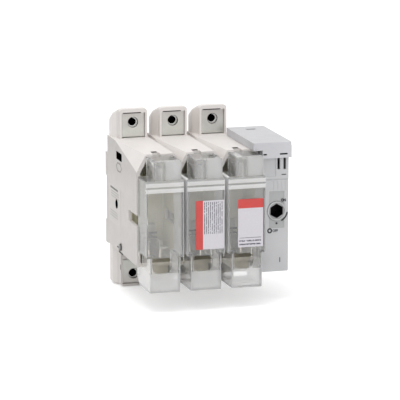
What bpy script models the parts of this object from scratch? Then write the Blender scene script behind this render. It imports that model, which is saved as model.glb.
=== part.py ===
"""Three-pole fuse switch disconnector with a side drive, in metres.

X is to the right, the front faces -Y, and Z is up. Y = 0 is the panel that the feet stand on, X = 0 is
the middle pole, and Z = 0 is half way between the upper and the lower terminal holes.
"""

import math

import bmesh
import bpy
from mathutils import Vector

# Poles
POLE_PITCH = 0.036
POLES = {"left": -POLE_PITCH, "middle": 0.0, "right": POLE_PITCH}
GAP = 0.0003  # between pieces that touch on the real object
BEYOND = 0.001  # how far a cutter or a joined body reaches past the face that it meets

# Pole casing
CASING_WIDTH = 0.0354
CASING_WALL = 0.003
CASING_FRONT_Y = -0.108
CASING_BACK_Y = -0.007
CASING_BOTTOM_Z = -0.0435
CASING_TOP_Z = 0.0535
RIGHT_EDGE_DROP = 0.0028
FLANK_BACK_Y = -0.031
FLANK_BACK_Z = 0.054
FLANK_FRONT_Z = 0.038
FLANK_TOP_X = -0.0098
CASING_EDGE_RADIUS = 0.0014
BAY_BACK_Y = -0.072
CHAMBER_TOP_Z = 0.035
WALL_SLOT_LOW_Z = -0.0086
WALL_SLOT_HIGH_Z = 0.0012
WALL_SLOT_DEPTH = 0.028
SIGHT_HOLE_RADIUS = 0.0039
SIGHT_HOLE_Y = -0.0395
SIGHT_HOLE_Z = -0.002

# Terminal housings and what is in them
HOUSING_FRONT_Y = -0.031
HOUSING_TOP_Z = 0.0797
HOUSING_BOTTOM_Z = -0.0782
HOUSING_FRONT_WIDTH = 0.0244
HOUSING_BACK_WIDTH = 0.032
HOUSING_SHOULDER_Y = -0.024
HOUSING_STEP_Y = -0.017
HOUSING_ROOF_FALL = 0.010
HOUSING_CORNER_RADIUS = 0.0026
TERMINAL_HOLE_Z = 0.0675
TERMINAL_HOLE_RADIUS = 0.00425
PLATE_WIDTH = 0.0205
PLATE_THICKNESS = 0.003
PLATE_FRONT_Y = -0.0285
PLATE_INNER_Z = 0.0549
PLATE_TOP_Z = 0.0757
PLATE_BOTTOM_Z = -0.0758
SHANK_SETBACK = 0.001
NUT_ACROSS_FLATS = 0.013
NUT_THICKNESS = 0.0065
NUT_BORE_RADIUS = 0.0033
BOLT_ROOM_RADIUS = 0.0045
BOLT_ROOM_DEPTH = 0.006

# Pole base
BASE_PLATE_THICKNESS = 0.003
BASE_TOP_Z = 0.038
BASE_FOOT_HEIGHT = 0.021
BASE_RIM_DEPTH = 0.003
BASE_RIB_WIDTH = 0.014

# Switching contacts
UPPER_FOOT_Z = 0.024
LOWER_FOOT_Z = -0.016
FOOT_THICKNESS = 0.0028
TERMINAL_FOOT_END_Y = -0.038
JAW_FOOT_END_Y = -0.052
STRAP_WIDTH = 0.014
STRAP_THICKNESS = 0.0025
BRIDGE_WIDTH = 0.008
BRIDGE_THICKNESS = 0.002
BRIDGE_PAD_HEIGHT = 0.0007
BRIDGE_OVERLAP = 0.0065
CARRIER_DEPTH = 0.008
CARRIER_WIDTH = 0.018
CARRIER_RIM = 0.0035
CROSSBAR_SIZE = 0.007
CROSSBAR_Z = -0.008
SLOT_CLEARANCE = 0.0006

# Fuse jaws
UPPER_JAW_Z = 0.033
LOWER_JAW_Z = -0.031
JAW_HEIGHT = 0.015
JAW_BLADE_GAP = 0.006
JAW_LEAF_THICKNESS = 0.0012
UPPER_JAW_TIP_Y = -0.105
LOWER_JAW_TIP_Y = -0.0985
JAW_TIP_LENGTH = 0.0045
JAW_FLARE = 0.0014
JAW_SPRING_DEPTH = 0.0016
JAW_SPRING_THICKNESS = 0.0008
JAW_WING_REACH = 0.0132
JAW_WING_THICKNESS = 0.0015
JAW_WING_DEPTH = 0.006

# Fuse cover
COVER_WIDTH = 0.033
COVER_WALL = 0.0018
COVER_FRONT_Y = -0.134
COVER_SHELF_Z = 0.0352
COVER_BOX_BOTTOM_Z = -0.031
CAP_LEFT_X = -0.0094
CAP_RIGHT_X = 0.0146
CAP_TOP_Z = 0.052
CAP_SETBACK = 0.0012
SNOUT_WIDTH = 0.0266
SNOUT_BOTTOM_Z = -0.061
SNOUT_HEEL_Y = -0.099
SEAM_GAP = 0.0004
RIDGE_HEIGHT = 0.0022
RIDGE_PROUD = 0.0012
RIDGE_LOW_Z = 0.0268
RIDGE_HIGH_Z = 0.0326
NOTCH_CENTRE_X = -0.0028
NOTCH_HALF_WIDTH = 0.0085
NOTCH_RADIUS = 0.006
NOTCH_BOTTOM_Z = -0.0445
COVER_EDGE_RADIUS = 0.0012

# Cover hinge and latch
HINGE_Y = -0.098
HINGE_Z = -0.0505
HINGE_LUG_RADIUS = 0.0045
HINGE_EAR_RADIUS = 0.0064
HINGE_PIN_RADIUS = 0.0015
LATCH_WIDTH = 0.006
LATCH_THICKNESS = 0.0014
LATCH_REACH = 0.006
LATCH_CLEARANCE = 0.0004

# Side mechanism
MODULE_LEFT_X = 0.0543
MODULE_RIGHT_X = 0.0785
MODULE_BACK_Y = -0.038
MODULE_FRONT_Y = -0.116
MODULE_BOTTOM_Z = -0.053
MODULE_TOP_Z = 0.0564
MODULE_WALL = 0.0016
MODULE_CORNER_RADIUS = 0.001
FRONT_PLATE_THICKNESS = 0.0028
ROOF_LEFT_X = 0.046
ROOF_RIGHT_X = 0.0801
ROOF_THICKNESS = 0.0038
ROOF_FRONT_Y = -0.1195
ROOF_CORNER_RADIUS = 0.0012
ROOF_SLOT_X = 0.0644
ROOF_SLOT_Y = -0.0518
ROOF_SLOT_LENGTH = 0.0084
ROOF_SLOT_WIDTH = 0.0045
FASCIA_BOTTOM_Z = 0.0468
FASCIA_THICKNESS = 0.003
FASCIA_LAP = 0.004
SKIRT_THICKNESS = 0.0014

# What the module's front plate carries
FRONT_SLOT_X = 0.0697
FRONT_SLOT_PITCH = 0.0054
FRONT_SLOT_WIDTH = 0.0024
FRONT_SLOT_LOW_Z = 0.0362
FRONT_SLOT_HIGH_Z = 0.0462
PANEL_LEFT_X = 0.0572
PANEL_RIGHT_X = 0.0672
PANEL_LOW_Z = 0.0305
PANEL_DEPTH = 0.0008
BAND_Z = 0.0274
BAND_HEIGHT = 0.0008
RIB_X = 0.0655
RIB_PITCH = 0.0035
RIB_COUNT = 4
RIB_WIDTH = 0.0008
RIB_PROUD = 0.0005
RIB_LOW_Z = 0.0185
RIB_HIGH_Z = 0.0262
HUB_FIELD_LEFT_X = 0.0612
HUB_FIELD_RIGHT_X = 0.0748
HUB_FIELD_LOW_Z = -0.015
HUB_FIELD_HIGH_Z = 0.0172
GROOVE_DEPTH = 0.0006

# Drive hub, pinion, rack and spring
HUB_X = 0.068
HUB_Z = 0.0
HUB_RADIUS = 0.0069
HUB_HEAD_DEPTH = 0.0165
HUB_FLANGE_RADIUS = 0.0081
HUB_FLANGE_THICKNESS = 0.0018
SOCKET_ACROSS_FLATS = 0.0108
SOCKET_CORNER_RADIUS = 0.0012
SOCKET_DEPTH = 0.0145
SHAFT_RADIUS = 0.0038
SHAFT_SQUARE = 0.0056
JOURNAL_RADIUS = 0.0028
BUSH_WALL = 0.001
BUSH_CLEARANCE = 0.0003
GEAR_MODULE = 0.00125
PINION_TEETH = 12
GEAR_BACKLASH = 0.0003
RACK_ADDENDUM = 0.0009
PRESSURE_ANGLE = math.radians(20)
RACK_BACK_THICKNESS = 0.0027
RACK_LOW_Z = -0.0245
RACK_HIGH_Z = 0.0105
RACK_FOOT_THICKNESS = 0.002
RACK_FOOT_REACH = 0.0074
TENON_SIZE = 0.004
TENON_LENGTH = 0.0019
SPRING_RADIUS = 0.0027
SPRING_WIRE_RADIUS = 0.0005
SPRING_TURNS = 7
SPRING_END_RISE = 0.0012

# Tie rods
ROD_RADIUS = 0.002
ROD_HEAD_RADIUS = 0.0031
ROD_HEAD_THICKNESS = 0.0018
UPPER_ROD_Y = -0.048
UPPER_ROD_Z = 0.0415
LOWER_ROD_Y = -0.053
LOWER_ROD_Z = -0.0377
ROD_POCKET_LENGTH = 0.019
ROD_POCKET_HEIGHT = 0.007
ROD_POCKET_DEPTH = 0.0065

# Sizes worked out from the ones above
HALF_CASING = CASING_WIDTH / 2
HALF_BAY = HALF_CASING - CASING_WALL
PITCH_RADIUS = GEAR_MODULE * PINION_TEETH / 2
STROKE = PITCH_RADIUS * math.pi / 2
PITCH_LINE_X = HUB_X - PITCH_RADIUS
SHANK_FRONT_Y = PLATE_FRONT_Y + SHANK_SETBACK
SHANK_BACK_Y = SHANK_FRONT_Y + PLATE_THICKNESS
BRIDGE_FRONT_Y = JAW_FOOT_END_Y - BRIDGE_OVERLAP
BRIDGE_BACK_Y = TERMINAL_FOOT_END_Y + BRIDGE_OVERLAP
CARRIER_Y = (TERMINAL_FOOT_END_Y + JAW_FOOT_END_Y) / 2
COVER_BACK_Y = CASING_FRONT_Y - SEAM_GAP
PLATE_BACK_Y = MODULE_FRONT_Y + FRONT_PLATE_THICKNESS
ROOF_LOW_Z = MODULE_TOP_Z + GAP


def clear_scene():
    for obj in list(bpy.data.objects):
        bpy.data.objects.remove(obj, do_unlink=True)


def plastic(name, colour, roughness, metallic=0.0, alpha=1.0):
    """A plain material for one kind of piece."""
    made = bpy.data.materials.new(name)
    made.use_nodes = True
    shader = made.node_tree.nodes["Principled BSDF"]
    shader.inputs["Base Color"].default_value = (*colour, 1.0)
    shader.inputs["Roughness"].default_value = roughness
    shader.inputs["Metallic"].default_value = metallic
    shader.inputs["Alpha"].default_value = alpha
    made.diffuse_color = (*colour, alpha)
    return made


def rounded(corners, steps=3):
    """An outline whose corners (a, b, radius) are replaced by arcs."""
    points = []
    for index, (a, b, radius) in enumerate(corners):
        corner = Vector((a, b))
        before = Vector(corners[index - 1][:2]) - corner
        after = Vector(corners[(index + 1) % len(corners)][:2]) - corner
        if radius <= 0:
            points.append(corner)
            continue
        half = before.angle(after) / 2
        reach = min(radius / math.tan(half), before.length * 0.45, after.length * 0.45)
        start, end = corner + before.normalized() * reach, corner + after.normalized() * reach
        middle = corner + (before.normalized() + after.normalized()).normalized() * (reach / math.cos(half))
        first, turn = start - middle, (start - middle).angle_signed(end - middle)
        for step in range(steps + 1):
            angle = -turn * step / steps
            points.append(middle + Vector((
                first.x * math.cos(angle) - first.y * math.sin(angle),
                first.x * math.sin(angle) + first.y * math.cos(angle),
            )))
    return points


def rectangle(a, b, radius=0.0):
    """The four corners of a rectangle over the ranges a and b."""
    return [(a[0], b[0], radius), (a[1], b[0], radius), (a[1], b[1], radius), (a[0], b[1], radius)]


def circle(a, b, radius, steps=24):
    return [
        (a + radius * math.cos(math.tau * step / steps), b + radius * math.sin(math.tau * step / steps))
        for step in range(steps)
    ]


def polygon(a, b, across_flats, sides=6, turn=0.0):
    corner = across_flats / 2 / math.cos(math.pi / sides)
    angles = [turn + math.tau * step / sides for step in range(sides)]
    return [(a + corner * math.cos(angle), b + corner * math.sin(angle)) for angle in angles]


def prism(outline, axis, low, high):
    """A closed prism: the outline lies across the axis and is extruded along it from low to high."""
    place = {
        "X": lambda a, b, along: (along, a, b),
        "Y": lambda a, b, along: (a, along, b),
        "Z": lambda a, b, along: (a, b, along),
    }[axis]
    bm = bmesh.new()
    face = bm.faces.new([bm.verts.new(place(point[0], point[1], low)) for point in outline])
    pushed = bmesh.ops.extrude_face_region(bm, geom=[face])["geom"]
    moved = [item for item in pushed if isinstance(item, bmesh.types.BMVert)]
    bmesh.ops.translate(bm, vec=place(0, 0, high - low), verts=moved)
    bmesh.ops.recalc_face_normals(bm, faces=bm.faces)
    return bm


def lofted(sections):
    """A closed body through outlines with the same number of points, each at its own place along Y."""
    bm = bmesh.new()
    rings = [[bm.verts.new((point[0], y, point[1])) for point in outline] for y, outline in sections]
    bm.faces.new(rings[0])
    bm.faces.new(rings[-1])
    for near, far in zip(rings, rings[1:]):
        for index in range(len(near)):
            bm.faces.new((near[index - 1], near[index], far[index], far[index - 1]))
    bmesh.ops.connect_verts_nonplanar(bm, angle_limit=0.0001, faces=bm.faces)
    bmesh.ops.recalc_face_normals(bm, faces=bm.faces)
    return bm


def block(x, y, z):
    return prism(rectangle(x, y), "Z", z[0], z[1])


def sliced(bm, point, normal):
    """Removes what lies beyond a plane and closes the cut."""
    geometry = bm.verts[:] + bm.edges[:] + bm.faces[:]
    cut = bmesh.ops.bisect_plane(bm, geom=geometry, plane_co=point, plane_no=normal, clear_outer=True)
    rim = [item for item in cut["geom_cut"] if isinstance(item, bmesh.types.BMEdge)]
    bmesh.ops.contextual_create(bm, geom=rim)
    bmesh.ops.recalc_face_normals(bm, faces=bm.faces)
    return bm


def shifted(bm, x):
    bmesh.ops.translate(bm, vec=(x, 0, 0), verts=bm.verts)
    return bm


def new_object(name, bm):
    mesh = bpy.data.meshes.new(name)
    bm.to_mesh(mesh)
    bm.free()
    obj = bpy.data.objects.new(name, mesh)
    bpy.context.scene.collection.objects.link(obj)
    return obj


def piece(name, bm, material, angle=35):
    """A visible piece. Its round faces are shaded smooth."""
    obj = new_object(name, bm)
    obj.data.materials.append(material)
    obj.data.shade_smooth()
    obj.data.set_sharp_from_angle(angle=math.radians(angle))
    return obj


def reshape(target, operation, *shapes):
    """Adds shapes to the target or cuts them out of it, each by a Boolean of its own."""
    for shape in shapes:
        tool = new_object(f"{target.name}_{operation.lower()}_{len(target.modifiers)}", shape)
        tool.hide_render = True
        tool.display_type = "WIRE"
        tool.parent = target
        modifier = target.modifiers.new(tool.name, "BOOLEAN")
        modifier.operation = operation
        modifier.solver = "EXACT"
        modifier.object = tool


def add(target, *shapes):
    reshape(target, "UNION", *shapes)


def cut(target, *shapes):
    reshape(target, "DIFFERENCE", *shapes)


def casing_section(inset):
    """The outline of a pole seen from the front, moved inwards by the wall."""
    half, top = HALF_CASING - inset, CASING_TOP_Z - inset
    radius = CASING_EDGE_RADIUS
    return rounded([
        (-half, CASING_BOTTOM_Z + inset, radius),
        (half, CASING_BOTTOM_Z + inset, radius),
        (half, top - RIGHT_EDGE_DROP, radius),
        (half - RIGHT_EDGE_DROP, top, radius),
        (-half, top, 0),
    ])


def off_the_flank(bm, x, inset):
    """Takes the slanted flank off: it runs from the terminal housing forwards, down to the left wall."""
    back = Vector((x - HALF_CASING, FLANK_BACK_Y, FLANK_BACK_Z))
    front = Vector((x - HALF_CASING, CASING_FRONT_Y, FLANK_FRONT_Z))
    top = Vector((x + FLANK_TOP_X, CASING_FRONT_Y, CASING_TOP_Z))
    outwards = (front - back).cross(top - front).normalized()
    return sliced(bm, back - outwards * inset, outwards)


def terminal_housing(x, root, end, fall):
    """A terminal housing: narrow round the plate, wider behind its shoulders. Its end falls to the back."""
    front, back = HOUSING_FRONT_WIDTH / 2, HOUSING_BACK_WIDTH / 2
    slope = math.copysign(fall, end) / (CASING_BACK_Y - HOUSING_SHOULDER_Y)
    radius = HOUSING_CORNER_RADIUS
    sections = []
    for y, half in (
        (HOUSING_FRONT_Y, front), (HOUSING_SHOULDER_Y, front),
        (HOUSING_STEP_Y, back), (CASING_BACK_Y, back),
    ):
        outer = end - slope * max(y - HOUSING_SHOULDER_Y, 0)
        corners = [(-half, outer, radius), (half, outer, radius), (half, root, 0), (-half, root, 0)]
        sections.append((y, rounded(corners)))
    return shifted(lofted(sections), x)


def hinge_lug(x):
    """The lug under the casing that the cover's pin passes."""
    radius = HINGE_LUG_RADIUS
    arc = [
        (HINGE_Y + radius * math.cos(angle), HINGE_Z + radius * math.sin(angle))
        for angle in (math.pi + math.pi * step / 12 for step in range(13))
    ]
    root = CASING_BOTTOM_Z + CASING_WALL / 2
    outline = [(HINGE_Y + radius, root), (HINGE_Y - radius, root)] + arc
    half = SNOUT_WIDTH / 2 - COVER_WALL - GAP
    return prism(outline, "X", x - half, x + half)


def pole_casing(side, x, material):
    """One moulded pole: fuse bay in front, contact chamber behind, a terminal housing above and below."""
    body = shifted(prism(casing_section(0), "Y", CASING_FRONT_Y, CASING_BACK_Y), x)
    casing = piece(f"pole_casing_{side}", off_the_flank(body, x, 0), material)
    inside = 2 * CASING_EDGE_RADIUS
    add(
        casing,
        terminal_housing(x, CASING_TOP_Z - inside, HOUSING_TOP_Z, HOUSING_ROOF_FALL),
        terminal_housing(x, CASING_BOTTOM_Z + inside, HOUSING_BOTTOM_Z, 0.0),
        hinge_lug(x),
    )

    floor = CASING_BOTTOM_Z + CASING_WALL
    bay = shifted(prism(casing_section(CASING_WALL), "Y", CASING_FRONT_Y - BEYOND, BAY_BACK_Y), x)
    latch = LATCH_WIDTH / 2 + LATCH_CLEARANCE
    cut(
        casing,
        off_the_flank(bay, x, CASING_WALL),
        block(
            (x - HALF_BAY, x + HALF_BAY), (BAY_BACK_Y + CASING_WALL, CASING_BACK_Y + BEYOND),
            (floor, CHAMBER_TOP_Z),
        ),
        block(
            (x - HALF_CASING - BEYOND, x + HALF_CASING + BEYOND),
            (CASING_FRONT_Y - BEYOND, CASING_FRONT_Y + WALL_SLOT_DEPTH),
            (WALL_SLOT_LOW_Z, WALL_SLOT_HIGH_Z),
        ),
        block(
            (x - latch, x + latch),
            (CASING_FRONT_Y - BEYOND, COVER_BACK_Y + LATCH_REACH + 2 * LATCH_CLEARANCE),
            (CASING_TOP_Z - 2 * CASING_WALL, CASING_TOP_Z + BEYOND),
        ),
        prism(circle(HINGE_Y, HINGE_Z, HINGE_PIN_RADIUS + GAP, 16), "X", x - 0.02, x + 0.02),
    )
    cut_terminal_rooms(casing, x, floor)
    cut_contact_slots(casing, side, x)
    cut_rod_holes(casing, side, x)
    return casing


def cut_terminal_rooms(casing, x, floor):
    """The plates' windows, the slots their shanks pass, the nut pockets and the bolts' room."""
    half = PLATE_WIDTH / 2 + GAP
    across = (x - half, x + half)
    window_y = (HOUSING_FRONT_Y - BEYOND, SHANK_BACK_Y + GAP)
    shank_y = (SHANK_FRONT_Y - GAP, SHANK_BACK_Y + GAP)
    nut_y = (SHANK_BACK_Y, PLATE_FRONT_Y + PLATE_THICKNESS + 2 * GAP + NUT_THICKNESS)
    for hole_z, inner_z, end_z, chamber_z in (
        (TERMINAL_HOLE_Z, PLATE_INNER_Z, PLATE_TOP_Z, CHAMBER_TOP_Z),
        (-TERMINAL_HOLE_Z, -PLATE_INNER_Z, PLATE_BOTTOM_Z, floor),
    ):
        outwards = math.copysign(GAP, hole_z)
        window_z = sorted((inner_z - math.copysign(SHANK_SETBACK, inner_z), end_z + outwards))
        shank_z = sorted((inner_z + outwards, chamber_z - 3 * outwards))
        pocket = polygon(x, hole_z, NUT_ACROSS_FLATS + 2 * GAP)
        bolt_room = circle(x, hole_z, BOLT_ROOM_RADIUS, 20)
        cut(
            casing,
            block(across, window_y, window_z),
            block(across, shank_y, shank_z),
            prism(pocket, "Y", nut_y[0], nut_y[1]),
            prism(bolt_room, "Y", nut_y[1] - BEYOND, nut_y[1] + BOLT_ROOM_DEPTH),
        )


def cut_contact_slots(casing, side, x):
    """Slots for the jaw straps in the bay's back wall, and for the crossbar in the side walls."""
    half = STRAP_WIDTH / 2 + GAP
    for foot_z in (UPPER_FOOT_Z, LOWER_FOOT_Z):
        cut(casing, block(
            (x - half, x + half), (BAY_BACK_Y - BEYOND, BAY_BACK_Y + CASING_WALL + BEYOND),
            (foot_z - GAP, foot_z + STRAP_THICKNESS + GAP),
        ))
    half_bar = CROSSBAR_SIZE / 2 + SLOT_CLEARANCE
    left = x if side == "left" else x - HALF_CASING - BEYOND
    cut(casing, block(
        (left, x + HALF_CASING + BEYOND), (CARRIER_Y - half_bar, CARRIER_Y + half_bar),
        (CROSSBAR_Z - half_bar, CROSSBAR_Z + STROKE + half_bar),
    ))
    if side == "left":
        hole = circle(SIGHT_HOLE_Y, SIGHT_HOLE_Z, SIGHT_HOLE_RADIUS, 16)
        cut(casing, prism(hole, "X", x - HALF_CASING - BEYOND, x - HALF_BAY + BEYOND))


def cut_rod_holes(casing, side, x):
    """The tie rods' holes, and on the left flank the pocket and the counterbore for their heads."""
    ends = (x - HALF_CASING - BEYOND, x + HALF_CASING + BEYOND)
    for rod_y, rod_z in ((UPPER_ROD_Y, UPPER_ROD_Z), (LOWER_ROD_Y, LOWER_ROD_Z)):
        cut(casing, prism(circle(rod_y, rod_z, ROD_RADIUS + GAP, 16), "X", *ends))
    if side != "left":
        return
    half_length, half_height = ROD_POCKET_LENGTH / 2, ROD_POCKET_HEIGHT / 2
    pocket = rounded(rectangle(
        (UPPER_ROD_Y - half_length, UPPER_ROD_Y + half_length),
        (UPPER_ROD_Z - half_height, UPPER_ROD_Z + half_height), 0.0012,
    ), 2)
    head = circle(LOWER_ROD_Y, LOWER_ROD_Z, ROD_HEAD_RADIUS + GAP, 20)
    cut(
        casing,
        prism(pocket, "X", ends[0], x - HALF_CASING + ROD_POCKET_DEPTH),
        prism(head, "X", ends[0], x - HALF_CASING + ROD_HEAD_THICKNESS / 2),
    )


def pole_base(side, x, material):
    """The base that closes the contact chamber and stands on the panel with two feet and a rib."""
    back = CASING_BACK_Y + GAP
    plate_back = back + BASE_PLATE_THICKNESS
    foot = BASE_FOOT_HEIGHT
    profile = [
        (back, CASING_BOTTOM_Z), (0, CASING_BOTTOM_Z), (0, CASING_BOTTOM_Z + foot),
        (plate_back, CASING_BOTTOM_Z + foot), (plate_back, BASE_TOP_Z - foot), (0, BASE_TOP_Z - foot),
        (0, BASE_TOP_Z), (back, BASE_TOP_Z),
    ]
    base = piece(f"pole_base_{side}", prism(profile, "X", x - HALF_CASING, x + HALF_CASING), material)
    rim = HALF_BAY - GAP
    add(
        base,
        block((x - BASE_RIB_WIDTH / 2, x + BASE_RIB_WIDTH / 2), (plate_back - BEYOND, 0),
              (CASING_BOTTOM_Z + foot - BEYOND, BASE_TOP_Z - foot + BEYOND)),
        block((x - rim, x + rim), (back - BASE_RIM_DEPTH, back + BEYOND),
              (CASING_BOTTOM_Z + CASING_WALL + GAP, CHAMBER_TOP_Z - GAP)),
    )
    return base


def terminal_bar(name, x, upwards, material):
    """A copper bar: a drilled pad in the window, a shank set back behind it, and a contact foot."""
    outer = PLATE_TOP_Z if upwards else PLATE_BOTTOM_Z
    inner = PLATE_INNER_Z if upwards else -PLATE_INNER_Z
    foot = UPPER_FOOT_Z if upwards else LOWER_FOOT_Z
    joggle = inner - math.copysign(SHANK_SETBACK, inner)
    front, back = PLATE_FRONT_Y, PLATE_FRONT_Y + PLATE_THICKNESS
    if upwards:
        profile = [
            (front, outer), (front, inner), (SHANK_FRONT_Y, joggle), (SHANK_FRONT_Y, foot + FOOT_THICKNESS),
            (TERMINAL_FOOT_END_Y, foot + FOOT_THICKNESS), (TERMINAL_FOOT_END_Y, foot),
            (SHANK_BACK_Y, foot), (SHANK_BACK_Y, joggle), (back, inner), (back, outer),
        ]
    else:
        profile = [
            (front, outer), (front, inner), (SHANK_FRONT_Y, joggle), (SHANK_FRONT_Y, foot),
            (TERMINAL_FOOT_END_Y, foot), (TERMINAL_FOOT_END_Y, foot + FOOT_THICKNESS),
            (SHANK_BACK_Y, foot + FOOT_THICKNESS), (SHANK_BACK_Y, joggle), (back, inner), (back, outer),
        ]
    half = PLATE_WIDTH / 2
    bar = piece(name, prism(profile, "X", x - half, x + half), material)
    hole_z = math.copysign(TERMINAL_HOLE_Z, outer)
    cut(bar, prism(circle(x, hole_z, TERMINAL_HOLE_RADIUS, 28), "Y", front - BEYOND, back + BEYOND))
    return bar


def captive_nut(name, x, hole_z, material):
    """A hexagon nut held behind the terminal pad."""
    front = PLATE_FRONT_Y + PLATE_THICKNESS + GAP
    back = front + NUT_THICKNESS
    nut = piece(name, prism(polygon(x, hole_z, NUT_ACROSS_FLATS), "Y", front, back), material)
    cut(nut, prism(circle(x, hole_z, NUT_BORE_RADIUS, 20), "Y", front - BEYOND, back + BEYOND))
    return nut


def fuse_jaw(name, x, jaw_z, foot_z, tip_y, material):
    """A two-leaf jaw with its strap through the bay's back wall. The lower one has a wing to the right."""
    base_back = BAY_BACK_Y - GAP
    base_front = base_back - STRAP_THICKNESS
    inner = JAW_BLADE_GAP / 2
    outer = inner + JAW_LEAF_THICKNESS
    tip_in, tip_out = inner + JAW_FLARE, outer + JAW_FLARE
    throat = tip_y + JAW_TIP_LENGTH
    leaves = [
        (-outer, base_front + BEYOND), (-outer, throat), (-tip_out, tip_y), (-tip_in, tip_y),
        (-inner, throat), (-inner, base_front - BEYOND),
        (inner, base_front - BEYOND), (inner, throat), (tip_in, tip_y), (tip_out, tip_y),
        (outer, throat), (outer, base_front + BEYOND),
    ]
    low, high = jaw_z - JAW_HEIGHT / 2, jaw_z + JAW_HEIGHT / 2
    if foot_z < jaw_z:
        top = max(high, foot_z + STRAP_THICKNESS)
        strap = [
            (base_front, foot_z), (JAW_FOOT_END_Y, foot_z), (JAW_FOOT_END_Y, foot_z + STRAP_THICKNESS),
            (base_back, foot_z + STRAP_THICKNESS), (base_back, top), (base_front, top),
        ]
    else:
        bottom = min(low, foot_z)
        strap = [
            (base_front, bottom), (base_back, bottom), (base_back, foot_z), (JAW_FOOT_END_Y, foot_z),
            (JAW_FOOT_END_Y, foot_z + STRAP_THICKNESS), (base_front, foot_z + STRAP_THICKNESS),
        ]
    jaw = piece(name, prism(strap, "X", x - STRAP_WIDTH / 2, x + STRAP_WIDTH / 2), material)
    add(jaw, shifted(prism(leaves, "Z", low, high), x))
    if jaw_z < 0:
        wing_z = jaw_z - JAW_WING_THICKNESS / 2
        add(jaw, block(
            (x + inner + 0.0004, x + JAW_WING_REACH), (throat, throat + JAW_WING_DEPTH),
            (wing_z, wing_z + JAW_WING_THICKNESS),
        ))
    return jaw


def jaw_spring(name, x, jaw_z, tip_y, material):
    """A steel ring that presses the two leaves together: behind the wing, where there is one."""
    front = tip_y + JAW_TIP_LENGTH + GAP + (JAW_WING_DEPTH if jaw_z < 0 else 0.0)
    half_width = JAW_BLADE_GAP / 2 + JAW_LEAF_THICKNESS + GAP
    half_height = JAW_HEIGHT / 2 + GAP
    outer_width, outer_height = half_width + JAW_SPRING_THICKNESS, half_height + JAW_SPRING_THICKNESS
    outline = rounded(rectangle(
        (x - outer_width, x + outer_width), (jaw_z - outer_height, jaw_z + outer_height), 0.0012,
    ), 2)
    ring = piece(name, prism(outline, "Y", front, front + JAW_SPRING_DEPTH), material)
    cut(ring, block(
        (x - half_width, x + half_width), (front - BEYOND, front + JAW_SPRING_DEPTH + BEYOND),
        (jaw_z - half_height, jaw_z + half_height),
    ))
    return ring


def bridge_contact(name, x, foot_z, material):
    """A moving contact that spans from the terminal foot to the jaw foot, shown open."""
    top = foot_z - GAP - STROKE
    face = top - BRIDGE_PAD_HEIGHT
    bottom = face - BRIDGE_THICKNESS
    profile = [
        (BRIDGE_FRONT_Y, bottom), (BRIDGE_BACK_Y, bottom), (BRIDGE_BACK_Y, top), (TERMINAL_FOOT_END_Y, top),
        (TERMINAL_FOOT_END_Y - BRIDGE_PAD_HEIGHT, face), (JAW_FOOT_END_Y + BRIDGE_PAD_HEIGHT, face),
        (JAW_FOOT_END_Y, top), (BRIDGE_FRONT_Y, top),
    ]
    return piece(name, prism(profile, "X", x - BRIDGE_WIDTH / 2, x + BRIDGE_WIDTH / 2), material)


def bridge_room(foot_z):
    """The height range of the window that a bridge sits in."""
    face = foot_z - GAP - STROKE - BRIDGE_PAD_HEIGHT
    return face - BRIDGE_THICKNESS - GAP, face + GAP


def contact_carrier(side, x, material):
    """A moulded frame on the crossbar that holds the pole's two bridges."""
    low = bridge_room(LOWER_FOOT_Z)[0] - CARRIER_RIM
    high = bridge_room(UPPER_FOOT_Z)[1] + CARRIER_RIM
    half, depth = CARRIER_WIDTH / 2, CARRIER_DEPTH / 2
    ends = (CARRIER_Y - depth, CARRIER_Y + depth)
    outline = rounded(rectangle((x - half, x + half), (low, high), 0.0015), 2)
    carrier = piece(f"contact_carrier_{side}", prism(outline, "Y", *ends), material)
    through = (ends[0] - BEYOND, ends[1] + BEYOND)
    window = (x - BRIDGE_WIDTH / 2 - GAP, x + BRIDGE_WIDTH / 2 + GAP)
    for foot_z in (UPPER_FOOT_Z, LOWER_FOOT_Z):
        cut(carrier, block(window, through, bridge_room(foot_z)))
    hole = CROSSBAR_SIZE / 2 + GAP
    cut(carrier, block(
        (x - half - BEYOND, x + half + BEYOND),
        (CARRIER_Y - hole, CARRIER_Y + hole), (CROSSBAR_Z - hole, CROSSBAR_Z + hole),
    ))
    return carrier


def crossbar(material):
    """The square bar through all three poles, with a tenon that the rack sits on."""
    half = CROSSBAR_SIZE / 2
    start = POLES["left"] - HALF_BAY + 0.002
    end = rack_back_x() - 2 * GAP
    bar_y, bar_z = (CARRIER_Y - half, CARRIER_Y + half), (CROSSBAR_Z - half, CROSSBAR_Z + half)
    bar = piece("crossbar", prism(rounded(rectangle(bar_y, bar_z, 0.0006), 2), "X", start, end), material)
    tenon = TENON_SIZE / 2
    add(bar, block(
        (end - BEYOND, rack_back_x() + TENON_LENGTH),
        (CARRIER_Y - tenon, CARRIER_Y + tenon), (CROSSBAR_Z - tenon, CROSSBAR_Z + tenon),
    ))
    return bar


def rack_back_x():
    return PITCH_LINE_X - 1.25 * GEAR_MODULE - RACK_BACK_THICKNESS


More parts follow.
